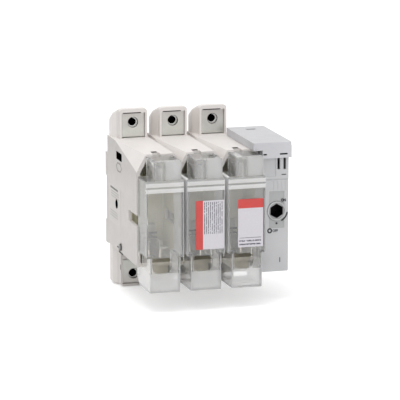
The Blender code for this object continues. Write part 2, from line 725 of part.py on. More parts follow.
def drive_rack(material):
    """A vertical rack on the crossbar's end, with its teeth to the pinion and its foot on the spring."""
    pitch = math.pi * GEAR_MODULE
    tip_x, root_x = PITCH_LINE_X + RACK_ADDENDUM, PITCH_LINE_X - 1.25 * GEAR_MODULE
    rise_tip = RACK_ADDENDUM * math.tan(PRESSURE_ANGLE)
    rise_root = 1.25 * GEAR_MODULE * math.tan(PRESSURE_ANGLE)
    half_tooth = pitch / 4 - GEAR_BACKLASH / 2
    first = math.ceil((RACK_LOW_Z + 0.006 - HUB_Z) / pitch)
    last = math.floor((RACK_HIGH_Z - 0.002 - HUB_Z) / pitch)
    back = rack_back_x()
    outline = [(root_x, RACK_HIGH_Z), (back, RACK_HIGH_Z), (back, RACK_LOW_Z), (root_x, RACK_LOW_Z)]
    for number in range(first, last + 1):
        middle = HUB_Z + number * pitch
        outline += [
            (root_x, middle - half_tooth - rise_root), (tip_x, middle - half_tooth + rise_tip),
            (tip_x, middle + half_tooth - rise_tip), (root_x, middle + half_tooth + rise_root),
        ]
    half = CARRIER_DEPTH / 2
    ends = (CARRIER_Y - half, CARRIER_Y + half)
    rack = piece("drive_rack", prism(outline, "Y", *ends), material)
    foot_z = (RACK_LOW_Z, RACK_LOW_Z + RACK_FOOT_THICKNESS)
    add(rack, block((back + BEYOND, back + RACK_FOOT_REACH), ends, foot_z))
    hole = TENON_SIZE / 2 + GAP
    cut(rack, block(
        (back - BEYOND, back + TENON_LENGTH + GAP),
        (CARRIER_Y - hole, CARRIER_Y + hole), (CROSSBAR_Z - hole, CROSSBAR_Z + hole),
    ))
    return rack


def pinion_outline():
    """Involute teeth. A gap faces the rack, so that the rack's middle tooth sits in it at rest."""
    base = PITCH_RADIUS * math.cos(PRESSURE_ANGLE)
    tip, root = PITCH_RADIUS + GEAR_MODULE, PITCH_RADIUS - 1.25 * GEAR_MODULE

    def involute(radius):
        angle = math.acos(base / radius)
        return math.tan(angle) - angle

    half_tooth = math.pi / 2 / PINION_TEETH - GEAR_BACKLASH / 2 / PITCH_RADIUS
    at_base = half_tooth + involute(PITCH_RADIUS)
    flank = [(root, at_base)] + [
        (radius, at_base - involute(radius)) for radius in (base, (base + tip) / 2, tip)
    ]
    points = []
    for number in range(PINION_TEETH):
        middle = math.tau * (number + 0.5) / PINION_TEETH
        for radius, half in flank:
            points.append((radius, middle - half))
        for radius, half in reversed(flank):
            points.append((radius, middle + half))
    return [
        (HUB_X + radius * math.cos(angle), HUB_Z + radius * math.sin(angle))
        for radius, angle in points
    ]


def drive_pinion(material):
    """The pinion on the square of the drive shaft."""
    half = CARRIER_DEPTH / 2 - 0.0005
    ends = (CARRIER_Y - half, CARRIER_Y + half)
    pinion = piece("drive_pinion", prism(pinion_outline(), "Y", *ends), material)
    hole = SHAFT_SQUARE / 2 + GAP
    through = (ends[0] - BEYOND, ends[1] + BEYOND)
    cut(pinion, block((HUB_X - hole, HUB_X + hole), through, (HUB_Z - hole, HUB_Z + hole)))
    return pinion


def turned(profile, x, z, steps=32):
    """A solid of revolution about an axis along Y through x, z, from a profile of (radius, y)."""
    bm = bmesh.new()
    ring = [bm.verts.new((x + radius, y, z)) for radius, y in profile]
    edges = [bm.edges.new(pair) for pair in zip(ring, ring[1:])]
    bmesh.ops.spin(
        bm, geom=ring + edges, cent=(x, 0, z), axis=(0, 1, 0), angle=math.tau, steps=steps, use_merge=True,
    )
    bmesh.ops.remove_doubles(bm, verts=bm.verts, dist=0.00001)
    bmesh.ops.recalc_face_normals(bm, faces=bm.faces)
    return bm


def drive_hub(material):
    """The hub that the handle fits: a head with a hexagon socket, a flange, a shaft and a square."""
    head_front = MODULE_FRONT_Y + 0.0002
    head_back = head_front + HUB_HEAD_DEPTH
    flange = PLATE_BACK_Y + GAP
    square_front = CARRIER_Y - CARRIER_DEPTH / 2
    square_back = CARRIER_Y + CARRIER_DEPTH / 2
    journal_back = MODULE_BACK_Y - GAP
    front = turned([
        (0, head_front), (HUB_RADIUS, head_front), (HUB_RADIUS, flange), (HUB_FLANGE_RADIUS, flange),
        (HUB_FLANGE_RADIUS, flange + HUB_FLANGE_THICKNESS), (HUB_RADIUS, flange + HUB_FLANGE_THICKNESS),
        (HUB_RADIUS, head_back), (SHAFT_RADIUS, head_back), (SHAFT_RADIUS, square_front), (0, square_front),
    ], HUB_X, HUB_Z)
    hub = piece("drive_hub", front, material)
    half = SHAFT_SQUARE / 2
    square = block(
        (HUB_X - half, HUB_X + half), (square_front - BEYOND, square_back), (HUB_Z - half, HUB_Z + half),
    )
    journal = prism(circle(HUB_X, HUB_Z, JOURNAL_RADIUS, 20), "Y", square_back - BEYOND, journal_back)
    add(hub, square, journal)
    hexagon = polygon(HUB_X, HUB_Z, SOCKET_ACROSS_FLATS, turn=math.pi / 6)
    socket = rounded([(a, b, SOCKET_CORNER_RADIUS) for a, b in hexagon], 2)
    cut(hub, prism(socket, "Y", head_front - BEYOND, head_front + SOCKET_DEPTH))
    return hub


def hub_bush(material):
    """The bearing ring in the front plate that the hub turns in."""
    inner = HUB_RADIUS + BUSH_CLEARANCE
    ring = piece(
        "hub_bush",
        prism(circle(HUB_X, HUB_Z, inner + BUSH_WALL, 32), "Y", MODULE_FRONT_Y - 0.0006, PLATE_BACK_Y),
        material,
    )
    cut(ring, prism(circle(HUB_X, HUB_Z, inner, 32), "Y", MODULE_FRONT_Y - 0.002, PLATE_BACK_Y + BEYOND))
    return ring


def module_outline(top):
    """The module's outline from the front, up to a given height."""
    x, z = (MODULE_LEFT_X, MODULE_RIGHT_X), (MODULE_BOTTOM_Z, top)
    return rounded(rectangle(x, z, MODULE_CORNER_RADIUS), 2)


def mechanism_housing(material):
    """The module's box, open at the front, with the shaft's rear bearing and the rack's guide."""
    front = PLATE_BACK_Y + GAP
    body = prism(module_outline(MODULE_TOP_Z), "Y", front, MODULE_BACK_Y)
    box = piece("mechanism_housing", body, material)
    wall = MODULE_WALL
    inside_x = (MODULE_LEFT_X + wall, MODULE_RIGHT_X - wall)
    inside_z = (MODULE_BOTTOM_Z + wall, MODULE_TOP_Z - wall)
    cut(box, block(inside_x, (front - BEYOND, MODULE_BACK_Y - wall), inside_z))
    rack_front = CARRIER_Y - CARRIER_DEPTH / 2 - GAP
    rack_rear = CARRIER_Y + CARRIER_DEPTH / 2 + GAP
    guide_x = (MODULE_LEFT_X + wall - 0.0005, rack_back_x() + 0.0025)
    guide_z = (RACK_LOW_Z, RACK_HIGH_Z + STROKE)
    add(
        box,
        block(guide_x, (rack_front - 0.002, rack_front), guide_z),
        block(guide_x, (rack_rear, MODULE_BACK_Y - wall + 0.0005), guide_z),
    )
    half = CROSSBAR_SIZE / 2 + SLOT_CLEARANCE
    through = (MODULE_LEFT_X - BEYOND, MODULE_LEFT_X + wall + BEYOND)
    slot_z = (CROSSBAR_Z - half, CROSSBAR_Z + STROKE + half)
    bearing = circle(HUB_X, HUB_Z, JOURNAL_RADIUS + GAP, 20)
    cut(
        box,
        prism(bearing, "Y", MODULE_BACK_Y - wall - BEYOND, MODULE_BACK_Y + BEYOND),
        block(through, (CARRIER_Y - half, CARRIER_Y + half), slot_z),
    )
    for rod_y, rod_z in ((UPPER_ROD_Y, UPPER_ROD_Z), (LOWER_ROD_Y, LOWER_ROD_Z)):
        cut(box, prism(circle(rod_y, rod_z, ROD_RADIUS + GAP, 16), "X", *through))
    return box


def mechanism_front(material):
    """The front plate: hub hole, two slots, a panel, a field round the hub, ribs and a band groove."""
    top = FASCIA_BOTTOM_Z + FASCIA_LAP
    body = prism(module_outline(top), "Y", MODULE_FRONT_Y, PLATE_BACK_Y)
    plate = piece("mechanism_front", body, material)
    front = MODULE_FRONT_Y
    through = (front - BEYOND, PLATE_BACK_Y + BEYOND)
    bore = HUB_RADIUS + BUSH_CLEARANCE + BUSH_WALL + GAP
    cut(plate, prism(circle(HUB_X, HUB_Z, bore, 32), "Y", *through))
    for middle in (FRONT_SLOT_X, FRONT_SLOT_X + FRONT_SLOT_PITCH):
        slot_x = (middle - FRONT_SLOT_WIDTH / 2, middle + FRONT_SLOT_WIDTH / 2)
        cut(plate, block(slot_x, through, (FRONT_SLOT_LOW_Z, FRONT_SLOT_HIGH_Z)))
    band_x = (MODULE_LEFT_X - BEYOND, MODULE_RIGHT_X + BEYOND)
    for x, z, depth in (
        ((PANEL_LEFT_X, PANEL_RIGHT_X), (PANEL_LOW_Z, FRONT_SLOT_HIGH_Z), PANEL_DEPTH),
        (band_x, (BAND_Z - BAND_HEIGHT / 2, BAND_Z + BAND_HEIGHT / 2), GROOVE_DEPTH),
        ((HUB_FIELD_LEFT_X, HUB_FIELD_RIGHT_X), (HUB_FIELD_LOW_Z, HUB_FIELD_HIGH_Z), GROOVE_DEPTH),
    ):
        cut(plate, block(x, (front - BEYOND, front + depth), z))
    rib_y, rib_z = (front - RIB_PROUD, front + BEYOND), (RIB_LOW_Z, RIB_HIGH_Z)
    for number in range(RIB_COUNT):
        left = RIB_X + number * RIB_PITCH - RIB_WIDTH / 2
        add(plate, block((left, left + RIB_WIDTH), rib_y, rib_z))
    return plate


def mechanism_roof(material):
    """The roof cover: a slab that reaches over the right pole, with a fascia and skirts."""
    radius = ROOF_CORNER_RADIUS
    outline = rounded(rectangle((ROOF_LEFT_X, ROOF_RIGHT_X), (ROOF_FRONT_Y, MODULE_BACK_Y), radius), 2)
    slab = prism(outline, "Z", ROOF_LOW_Z, ROOF_LOW_Z + ROOF_THICKNESS)
    roof = piece("mechanism_roof", slab, material)
    ends = (ROOF_FRONT_Y + radius, MODULE_BACK_Y - radius)
    fascia = (ROOF_FRONT_Y, ROOF_FRONT_Y + FASCIA_THICKNESS)
    upper = ROOF_LOW_Z + BEYOND
    over_casing = (CASING_TOP_Z + GAP, upper)
    over_module = (FASCIA_BOTTOM_Z, upper)
    add(
        roof,
        block((MODULE_LEFT_X, ROOF_RIGHT_X), fascia, over_module),
        block((ROOF_LEFT_X, MODULE_LEFT_X + BEYOND), fascia, over_casing),
        block((ROOF_RIGHT_X - SKIRT_THICKNESS, ROOF_RIGHT_X), ends, over_module),
        block((ROOF_LEFT_X, ROOF_LEFT_X + SKIRT_THICKNESS), ends, over_casing),
    )
    half_length, half_width = ROOF_SLOT_LENGTH / 2, ROOF_SLOT_WIDTH / 2
    cut(roof, block(
        (ROOF_SLOT_X - half_length, ROOF_SLOT_X + half_length),
        (ROOF_SLOT_Y - half_width, ROOF_SLOT_Y + half_width),
        (ROOF_LOW_Z - BEYOND, ROOF_LOW_Z + ROOF_THICKNESS + BEYOND),
    ))
    return roof


def rack_spring(material):
    """The coil spring that pushes the rack up and presses the contacts closed. Its end turns lie level."""
    centre_x = rack_back_x() + RACK_FOOT_REACH / 2
    low = MODULE_BOTTOM_Z + MODULE_WALL + SPRING_WIRE_RADIUS + GAP
    high = RACK_LOW_Z - SPRING_WIRE_RADIUS - GAP
    steps = 12 * SPRING_TURNS
    curve = bpy.data.curves.new("rack_spring", "CURVE")
    curve.dimensions = "3D"
    curve.bevel_depth = SPRING_WIRE_RADIUS
    curve.bevel_resolution = 1
    curve.use_fill_caps = True
    line = curve.splines.new("POLY")
    line.points.add(steps)
    for step, point in enumerate(line.points):
        angle = math.tau * SPRING_TURNS * step / steps
        first, last = min(step / 12, 1), max((step - steps + 12) / 12, 0)
        share = min(max((step - 12) / (steps - 24), 0), 1)
        height = low + SPRING_END_RISE * (first + last) + (high - low - 2 * SPRING_END_RISE) * share
        across, along = SPRING_RADIUS * math.cos(angle), SPRING_RADIUS * math.sin(angle)
        point.co = (centre_x + across, CARRIER_Y + along, height, 1)
    curve.materials.append(material)
    spring = bpy.data.objects.new("rack_spring", curve)
    bpy.context.scene.collection.objects.link(spring)
    return spring


def tie_rod(name, rod_y, rod_z, head_x, material):
    """A rod through the three poles and into the module, with a head and a peened end."""
    end = MODULE_LEFT_X + MODULE_WALL + GAP
    rod = piece(name, prism(circle(rod_y, rod_z, ROD_RADIUS, 16), "X", head_x, end + BEYOND), material)
    add(
        rod,
        prism(circle(rod_y, rod_z, ROD_HEAD_RADIUS, 20), "X", head_x - ROD_HEAD_THICKNESS, head_x),
        prism(circle(rod_y, rod_z, ROD_HEAD_RADIUS * 0.85, 20), "X", end, end + ROD_HEAD_THICKNESS * 0.7),
    )
    return rod


def fuse_cover(side, x, material):
    """One clear moulding: a wide box, a cap above it, and a snout below that reaches back to the hinge."""
    half, half_snout, wall, back = COVER_WIDTH / 2, SNOUT_WIDTH / 2, COVER_WALL, COVER_BACK_Y
    radius = COVER_EDGE_RADIUS
    box = rounded(rectangle((-half, half), (COVER_BOX_BOTTOM_Z, COVER_SHELF_Z), radius), 2)
    cover = piece(f"fuse_cover_{side}", shifted(prism(box, "Y", COVER_FRONT_Y, back), x), material)
    cap_front = COVER_FRONT_Y + CAP_SETBACK
    cap = rounded([
        (CAP_LEFT_X, COVER_SHELF_Z - wall, 0), (CAP_RIGHT_X, COVER_SHELF_Z - wall, 0),
        (CAP_RIGHT_X, CAP_TOP_Z, radius), (CAP_LEFT_X, CAP_TOP_Z, radius),
    ], 2)
    ear_top = HINGE_Z + HINGE_EAR_RADIUS
    snout = [
        (COVER_FRONT_Y, COVER_BOX_BOTTOM_Z + wall), (COVER_FRONT_Y, SNOUT_BOTTOM_Z),
        (SNOUT_HEEL_Y, SNOUT_BOTTOM_Z),
    ]
    snout += [
        (HINGE_Y + HINGE_EAR_RADIUS * math.cos(angle), HINGE_Z + HINGE_EAR_RADIUS * math.sin(angle))
        for angle in (math.radians(degrees) for degrees in range(-50, 91, 14))
    ]
    snout += [(back, ear_top), (back, COVER_BOX_BOTTOM_Z + wall)]
    add(
        cover,
        shifted(prism(cap, "Y", cap_front, back), x),
        prism(snout, "X", x - half_snout, x + half_snout),
    )
    ridge = half - radius
    for low in (RIDGE_LOW_Z, RIDGE_HIGH_Z):
        add(cover, block(
            (x - ridge, x + ridge), (COVER_FRONT_Y - RIDGE_PROUD, COVER_FRONT_Y + wall / 2),
            (low, low + RIDGE_HEIGHT),
        ))

    beyond = back + BEYOND
    inner = COVER_FRONT_Y + wall
    snout_room = [
        (inner, COVER_BOX_BOTTOM_Z + 2 * wall), (inner, SNOUT_BOTTOM_Z + wall),
        (HINGE_Y + 0.01, SNOUT_BOTTOM_Z + wall), (HINGE_Y + 0.01, ear_top + BEYOND),
        (beyond, ear_top + BEYOND), (beyond, COVER_BOX_BOTTOM_Z + 2 * wall),
    ]
    notch = rounded([
        (NOTCH_CENTRE_X - NOTCH_HALF_WIDTH, COVER_BOX_BOTTOM_Z, 0),
        (NOTCH_CENTRE_X - NOTCH_HALF_WIDTH, NOTCH_BOTTOM_Z, NOTCH_RADIUS),
        (NOTCH_CENTRE_X + NOTCH_HALF_WIDTH, NOTCH_BOTTOM_Z, NOTCH_RADIUS),
        (NOTCH_CENTRE_X + NOTCH_HALF_WIDTH, COVER_BOX_BOTTOM_Z, 0),
    ], 6)
    cut(
        cover,
        block(
            (x - half + wall, x + half - wall), (inner, beyond),
            (COVER_BOX_BOTTOM_Z + wall, COVER_SHELF_Z - wall),
        ),
        block(
            (x + CAP_LEFT_X + wall, x + CAP_RIGHT_X - wall), (cap_front + wall, beyond),
            (COVER_SHELF_Z - 2 * wall, CAP_TOP_Z - wall),
        ),
        prism(snout_room, "X", x - half_snout + wall, x + half_snout - wall),
        shifted(prism(notch, "Y", COVER_FRONT_Y - BEYOND, inner + BEYOND), x),
        prism(circle(HINGE_Y, HINGE_Z, HINGE_PIN_RADIUS + GAP, 16), "X", x - half, x + half),
    )
    top = CAP_TOP_Z - LATCH_CLEARANCE
    add(cover, block(
        (x - LATCH_WIDTH / 2, x + LATCH_WIDTH / 2), (back - wall, back + LATCH_REACH),
        (top - LATCH_THICKNESS, top),
    ))
    return cover


def cover_pin(side, x, material):
    """The steel pin that a cover turns on."""
    half = SNOUT_WIDTH / 2
    pin = prism(circle(HINGE_Y, HINGE_Z, HINGE_PIN_RADIUS, 16), "X", x - half, x + half)
    return piece(f"cover_hinge_pin_{side}", pin, material)


clear_scene()
cream = plastic("cream_plastic", (0.70, 0.68, 0.64), 0.5)
grey = plastic("grey_plastic", (0.56, 0.57, 0.58), 0.45)
clear = plastic("clear_plastic", (0.80, 0.82, 0.84), 0.1, alpha=0.3)
dark = plastic("dark_plastic", (0.03, 0.03, 0.03), 0.5)
copper = plastic("tinned_copper", (0.72, 0.68, 0.62), 0.3, metallic=1.0)
brass = plastic("jaw_brass", (0.72, 0.62, 0.42), 0.3, metallic=1.0)
steel = plastic("steel", (0.60, 0.60, 0.60), 0.3, metallic=1.0)

for side, x in POLES.items():
    pole_casing(side, x, cream)
    pole_base(side, x, cream)
    fuse_cover(side, x, clear)
    cover_pin(side, x, steel)
    contact_carrier(side, x, dark)
    for level, foot_z, jaw_z, tip_y, hole_z in (
        ("upper", UPPER_FOOT_Z, UPPER_JAW_Z, UPPER_JAW_TIP_Y, TERMINAL_HOLE_Z),
        ("lower", LOWER_FOOT_Z, LOWER_JAW_Z, LOWER_JAW_TIP_Y, -TERMINAL_HOLE_Z),
    ):
        terminal_bar(f"terminal_bar_{level}_{side}", x, level == "upper", copper)
        captive_nut(f"captive_nut_{level}_{side}", x, hole_z, steel)
        fuse_jaw(f"fuse_jaw_{level}_{side}", x, jaw_z, foot_z, tip_y, brass)
        jaw_spring(f"jaw_spring_{level}_{side}", x, jaw_z, tip_y, steel)
        bridge_contact(f"bridge_contact_{level}_{side}", x, foot_z, copper)

crossbar(dark)
drive_rack(dark)
drive_pinion(steel)
drive_hub(grey)
hub_bush(grey)
mechanism_housing(grey)
mechanism_front(grey)
mechanism_roof(grey)
rack_spring(steel)
left_face = POLES["left"] - HALF_CASING
tie_rod("tie_rod_upper", UPPER_ROD_Y, UPPER_ROD_Z, left_face + ROD_POCKET_DEPTH - GAP, steel)
tie_rod("tie_rod_lower", LOWER_ROD_Y, LOWER_ROD_Z, left_face + ROD_HEAD_THICKNESS / 2 - GAP, steel)
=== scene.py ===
import math

import bmesh
import bpy
from mathutils import Matrix, Vector


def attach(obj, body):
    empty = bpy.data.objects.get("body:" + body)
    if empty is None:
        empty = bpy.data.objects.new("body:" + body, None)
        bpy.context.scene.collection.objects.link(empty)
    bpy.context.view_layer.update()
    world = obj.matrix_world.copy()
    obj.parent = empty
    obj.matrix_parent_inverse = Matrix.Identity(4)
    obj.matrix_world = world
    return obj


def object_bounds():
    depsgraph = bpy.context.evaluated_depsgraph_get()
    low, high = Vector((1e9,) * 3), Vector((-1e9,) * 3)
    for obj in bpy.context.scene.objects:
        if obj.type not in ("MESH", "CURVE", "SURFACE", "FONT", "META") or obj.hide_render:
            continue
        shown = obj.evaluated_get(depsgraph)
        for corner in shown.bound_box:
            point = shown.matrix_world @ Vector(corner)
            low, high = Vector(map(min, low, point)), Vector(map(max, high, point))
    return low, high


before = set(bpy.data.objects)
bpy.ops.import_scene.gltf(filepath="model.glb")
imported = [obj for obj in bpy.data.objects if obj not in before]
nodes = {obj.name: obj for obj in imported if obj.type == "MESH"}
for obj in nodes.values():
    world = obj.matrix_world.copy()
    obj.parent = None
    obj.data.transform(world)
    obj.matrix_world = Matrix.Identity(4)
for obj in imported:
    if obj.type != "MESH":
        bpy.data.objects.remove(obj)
cad_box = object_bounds()
scene = bpy.context.scene


# Camera: the photograph's, from the front left and a little above. Its lens is long, so the poles hardly
# narrow towards the back.
AZIMUTH = math.radians(-16.0)
ELEVATION = math.radians(11.47)
TARGET = Vector((0.01404, -0.066, 0.00285))
DISTANCE = 2.4389

camera_data = bpy.data.cameras.new("camera")
camera_data.sensor_width = 36.0
camera_data.lens = 252.9
camera_data.clip_end = 50.0
camera = bpy.data.objects.new("camera", camera_data)
towards_camera = Vector((
    math.sin(AZIMUTH) * math.cos(ELEVATION),
    -math.cos(AZIMUTH) * math.cos(ELEVATION),
    math.sin(ELEVATION),
))
camera.location = TARGET + towards_camera * DISTANCE
camera.rotation_euler = towards_camera.to_track_quat("Z", "Y").to_euler()
scene.collection.objects.link(camera)
scene.camera = camera


# Light: a pale studio all round, with one wide soft lamp overhead that brightens the tops. The walls of
# the studio look white to the camera, in gloss and through the clear covers.
STUDIO_LEVEL = 0.93
scene.view_settings.view_transform = "Standard"
world = bpy.data.worlds.new("studio")
world.use_nodes = True
tree = world.node_tree


def seen_ray(tree, low, high):
    """High to the camera, in gloss and through clear pieces, and low for light on the object."""
    path = tree.nodes.new("ShaderNodeLightPath")
    total = path.outputs["Is Camera Ray"]
    for kind in ("Is Glossy Ray", "Is Transmission Ray"):
        node = tree.nodes.new("ShaderNodeMath")
        node.operation = "MAXIMUM"
        tree.links.new(total, node.inputs[0])
        tree.links.new(path.outputs[kind], node.inputs[1])
        total = node.outputs["Value"]
    level = tree.nodes.new("ShaderNodeMapRange")
    level.inputs["To Min"].default_value = low
    level.inputs["To Max"].default_value = high
    tree.links.new(total, level.inputs["Value"])
    return level.outputs["Result"]


background = tree.nodes["Background"]
background.inputs["Color"].default_value = (1.0, 1.0, 1.0, 1.0)
tree.links.new(seen_ray(tree, STUDIO_LEVEL, 1.0), background.inputs["Strength"])
scene.world = world

for name, place, size, power in (
    ("overhead", (-0.35, -0.45, 1.95), 1.0, 12.5),
    ("front", (-0.2, -1.9, 0.5), 0.7, 1.2),
):
    lamp = bpy.data.lights.new(name, "AREA")
    lamp.shape = "DISK"
    lamp.size = size
    lamp.energy = power
    light = bpy.data.objects.new(name, lamp)
    light.location = place
    light.rotation_euler = (Vector(place) - TARGET).to_track_quat("Z", "Y").to_euler()
    scene.collection.objects.link(light)


# Pole casings and bases: warm cream thermoset, moulded in one shot each and clamped side by side by two
# tie rods. The bay behind the cover has a greener tone and the lower lug a warmer, more mottled one. The
# left wall and the side of the terminal housing are painted darker as shade, and the bolt rooms and the
# rod's pocket are painted black as shade.
POLE_PITCH = 0.036
POLES = {"left": -POLE_PITCH, "middle": 0.0, "right": POLE_PITCH}
CREAM = (0.735, 0.70, 0.675)
BAY_TONE = (0.73, 0.70, 0.52)
LUG_TONE = (0.74, 0.70, 0.60)
BLACK = (0.004, 0.004, 0.004)
LEFT_X = -0.0537
HOUSING_SIDE_X = -0.0482
HALF_BAY = 0.0147
CASING_FRONT_Y = -0.108
BAY_BACK_Y = -0.072
BAY_FLOOR_Z = -0.0405
FLANK_NORMAL = (-0.887, -0.0939, 0.4521)
FLANK_REACH = 0.04302
TERMINAL_HOLE_Z = 0.0675
PLATE_BACK_Y = -0.0255
SEEN_DEPTH = 0.0001
LOW_SIDE_SHADE, HIGH_SIDE_SHADE, HOUSING_SHADE = 0.80, 0.68, 0.91


def shaded(colour, share):
    return tuple(c * share for c in colour)


def finish_of(name):
    made = bpy.data.materials.new(name)
    made.use_nodes = True
    return made, made.node_tree, made.node_tree.nodes["Principled BSDF"]


def coordinates(tree):
    """Object coordinates, so a pattern stays on its piece."""
    place = tree.nodes.new("ShaderNodeTexCoord")
    apart = tree.nodes.new("ShaderNodeSeparateXYZ")
    tree.links.new(place.outputs["Object"], apart.inputs["Vector"])
    return apart.outputs["X"], apart.outputs["Y"], apart.outputs["Z"]


def maths(tree, operation, *values):
    node = tree.nodes.new("ShaderNodeMath")
    node.operation = operation
    for socket, value in zip(node.inputs, values):
        if isinstance(value, float):
            socket.default_value = value
        else:
            tree.links.new(value, socket)
    return node.outputs["Value"]


def from_pole(tree, x):
    """X counted from the middle of the nearest pole."""
    return maths(tree, "WRAP", x, POLE_PITCH / 2, -POLE_PITCH / 2)


def within(tree, *ranges):
    """One where every value lies in its range, and nought elsewhere."""
    mask = None
    for value, low, high in ranges:
        above = maths(tree, "GREATER_THAN", value, low)
        inside = maths(tree, "MULTIPLY", above, maths(tree, "LESS_THAN", value, high))
        mask = inside if mask is None else maths(tree, "MULTIPLY", mask, inside)
    return mask


def either(tree, *masks):
    result = masks[0]
    for mask in masks[1:]:
        result = maths(tree, "MAXIMUM", result, mask)
    return result


def mixed(tree, factor, first, second):
    """A mix of two colours, each a tuple or a socket."""
    node = tree.nodes.new("ShaderNodeMix")
    node.data_type = "RGBA"
    tree.links.new(factor, node.inputs["Factor"])
    inputs = [socket for socket in node.inputs if socket.type == "RGBA"]
    for socket, value in zip(inputs, (first, second)):
        if isinstance(value, tuple):
            socket.default_value = (*value, 1.0)
        else:
            tree.links.new(value, socket)
    return next(socket for socket in node.outputs if socket.type == "RGBA")


def noise(tree, scale, detail=3.0, stretch=(1.0, 1.0, 1.0)):
    place = tree.nodes.new("ShaderNodeTexCoord")
    mapping = tree.nodes.new("ShaderNodeMapping")
    mapping.inputs["Scale"].default_value = stretch
    texture = tree.nodes.new("ShaderNodeTexNoise")
    texture.inputs["Scale"].default_value = scale
    texture.inputs["Detail"].default_value = detail
    tree.links.new(place.outputs["Object"], mapping.inputs["Vector"])
    tree.links.new(mapping.outputs["Vector"], texture.inputs["Vector"])
    return texture.outputs["Fac"]


def spread(tree, value, low, high, start=0.3, end=0.7):
    """Maps a value to a range, for roughness, clearness and the like."""
    node = tree.nodes.new("ShaderNodeMapRange")
    node.inputs["From Min"].default_value = start
    node.inputs["From Max"].default_value = end
    node.inputs["To Min"].default_value = low
    node.inputs["To Max"].default_value = high
    tree.links.new(value, node.inputs["Value"])
    return node.outputs["Result"]


def toned(tree, scale, colour, contrast):
    """A colour that drifts a little lighter and darker over the piece."""
    dark = shaded(colour, 1 - contrast)
    light = tuple(min(1.0, c * (1 + contrast)) for c in colour)
    return mixed(tree, spread(tree, noise(tree, scale), 0.0, 1.0), dark, light)


def grained(tree, shader, value, strength, distance):
    node = tree.nodes.new("ShaderNodeBump")
    node.inputs["Strength"].default_value = strength
    node.inputs["Distance"].default_value = distance
    tree.links.new(value, node.inputs["Height"])
    tree.links.new(node.outputs["Normal"], shader.inputs["Normal"])


def moulded_skin(tree, shader, roughness, grain=1400.0):
    tree.links.new(spread(tree, noise(tree, 160.0), *roughness), shader.inputs["Roughness"])
    grained(tree, shader, noise(tree, grain, detail=2.0), strength=0.25, distance=0.00006)


def without_gloss(tree, shader, mask):
    """Takes the reflection off where the mask is one, as in a deep hole."""
    gloss = spread(tree, mask, 0.5, 0.0, start=0.0, end=1.0)
    tree.links.new(gloss, shader.inputs["Specular IOR Level"])


def cream_moulding():
    made, tree, shader = finish_of("cream_moulding")
    x, y, z = coordinates(tree)
    across = from_pole(tree, x)
    height = maths(tree, "ABSOLUTE", z)
    slant = maths(tree, "MULTIPLY", across, FLANK_NORMAL[0])
    for value, share in ((y, FLANK_NORMAL[1]), (z, FLANK_NORMAL[2])):
        slant = maths(tree, "ADD", slant, maths(tree, "MULTIPLY", value, share))
    under_flank = (slant, -1.0, FLANK_REACH - 0.0015)
    walls = (across, -HALF_BAY - SEEN_DEPTH, HALF_BAY + SEEN_DEPTH)
    depth = (y, CASING_FRONT_Y + SEEN_DEPTH, BAY_BACK_Y + 0.0005)
    bay = within(tree, walls, depth, (z, BAY_FLOOR_Z - 0.0005, 0.0508), under_flank)
    lug = within(tree, walls, (y, CASING_FRONT_Y - 0.0005, -0.088), (z, -0.056, BAY_FLOOR_Z + 0.0005))
    # The bolt rooms and the rod's pocket are painted black without gloss, as the shade deep inside them.
    bolt_room = within(
        tree, (across, -0.0082, 0.0082), (y, PLATE_BACK_Y + SEEN_DEPTH, -0.011),
        (height, TERMINAL_HOLE_Z - 0.0078, TERMINAL_HOLE_Z + 0.0078),
    )
    rod_pocket = within(
        tree, (x, LEFT_X + SEEN_DEPTH, -0.0465), (y, -0.0577, -0.0383), (z, 0.0378, 0.0452),
    )
    black = either(tree, bolt_room, rod_pocket)
    # Painted shade: the left wall darker, most towards its top, and the terminal housing's side a little.
    side = within(tree, (x, LEFT_X - 0.001, LEFT_X + SEEN_DEPTH))
    side_painted_shade = mixed(
        tree, spread(tree, z, 0.0, 1.0, start=0.015, end=0.05),
        shaded(CREAM, LOW_SIDE_SHADE), shaded(CREAM, HIGH_SIDE_SHADE),
    )
    housing_side = within(
        tree, (x, HOUSING_SIDE_X - 0.001, HOUSING_SIDE_X + SEEN_DEPTH), (y, -0.0305, -0.0175),
    )
    colour = mixed(tree, side, toned(tree, 38.0, CREAM, 0.025), side_painted_shade)
    colour = mixed(tree, housing_side, colour, shaded(CREAM, HOUSING_SHADE))
    colour = mixed(tree, bay, colour, toned(tree, 60.0, BAY_TONE, 0.06))
    colour = mixed(tree, lug, colour, toned(tree, 90.0, LUG_TONE, 0.12))
    tree.links.new(mixed(tree, black, colour, BLACK), shader.inputs["Base Color"])
    without_gloss(tree, shader, black)
    moulded_skin(tree, shader, (0.38, 0.52))
    return made


def coat(names, made):
    for name in names:
        mesh = nodes[name].data
        mesh.materials.clear()
        mesh.materials.append(made)


def on_poles(stem):
    return [f"{stem}_{side}" for side in POLES]


def on_both(stem):
    return [f"{stem}_{level}_{side}" for side in POLES for level in ("upper", "lower")]


def ease_edges(names, width):
    """A small round on the edges, which catches the light."""
    for name in names:
        weld = nodes[name].modifiers.new("weld", "WELD")
        weld.merge_threshold = 0.000002
        bevel = nodes[name].modifiers.new("edge", "BEVEL")
        bevel.width = width
        bevel.segments = 2
        bevel.limit_method = "ANGLE"
        bevel.angle_limit = math.radians(35)


coat(on_poles("pole_casing") + on_poles("pole_base"), cream_moulding())
ease_edges(on_poles("pole_casing"), 0.0004)


# Mechanism box: cooler grey moulding in three parts, screwed together from behind. The field round the
# hub is moulded a little lower and looks darker, and the roof is the palest part, though its top is
# painted darker than its front lip as shade.
MODULE_FRONT_Y = -0.116
MODULE_GREY = (0.575, 0.577, 0.587)
FIELD_GREY = (0.45, 0.455, 0.457)
ROOF_TOP_SHADED_GREY = (0.51, 0.51, 0.525)
FASCIA_GREY = (0.61, 0.61, 0.635)
FASCIA_Y = -0.1194
HUB_FIELD_X = (0.0612, 0.0748)
HUB_FIELD_Z = (-0.015, 0.0172)


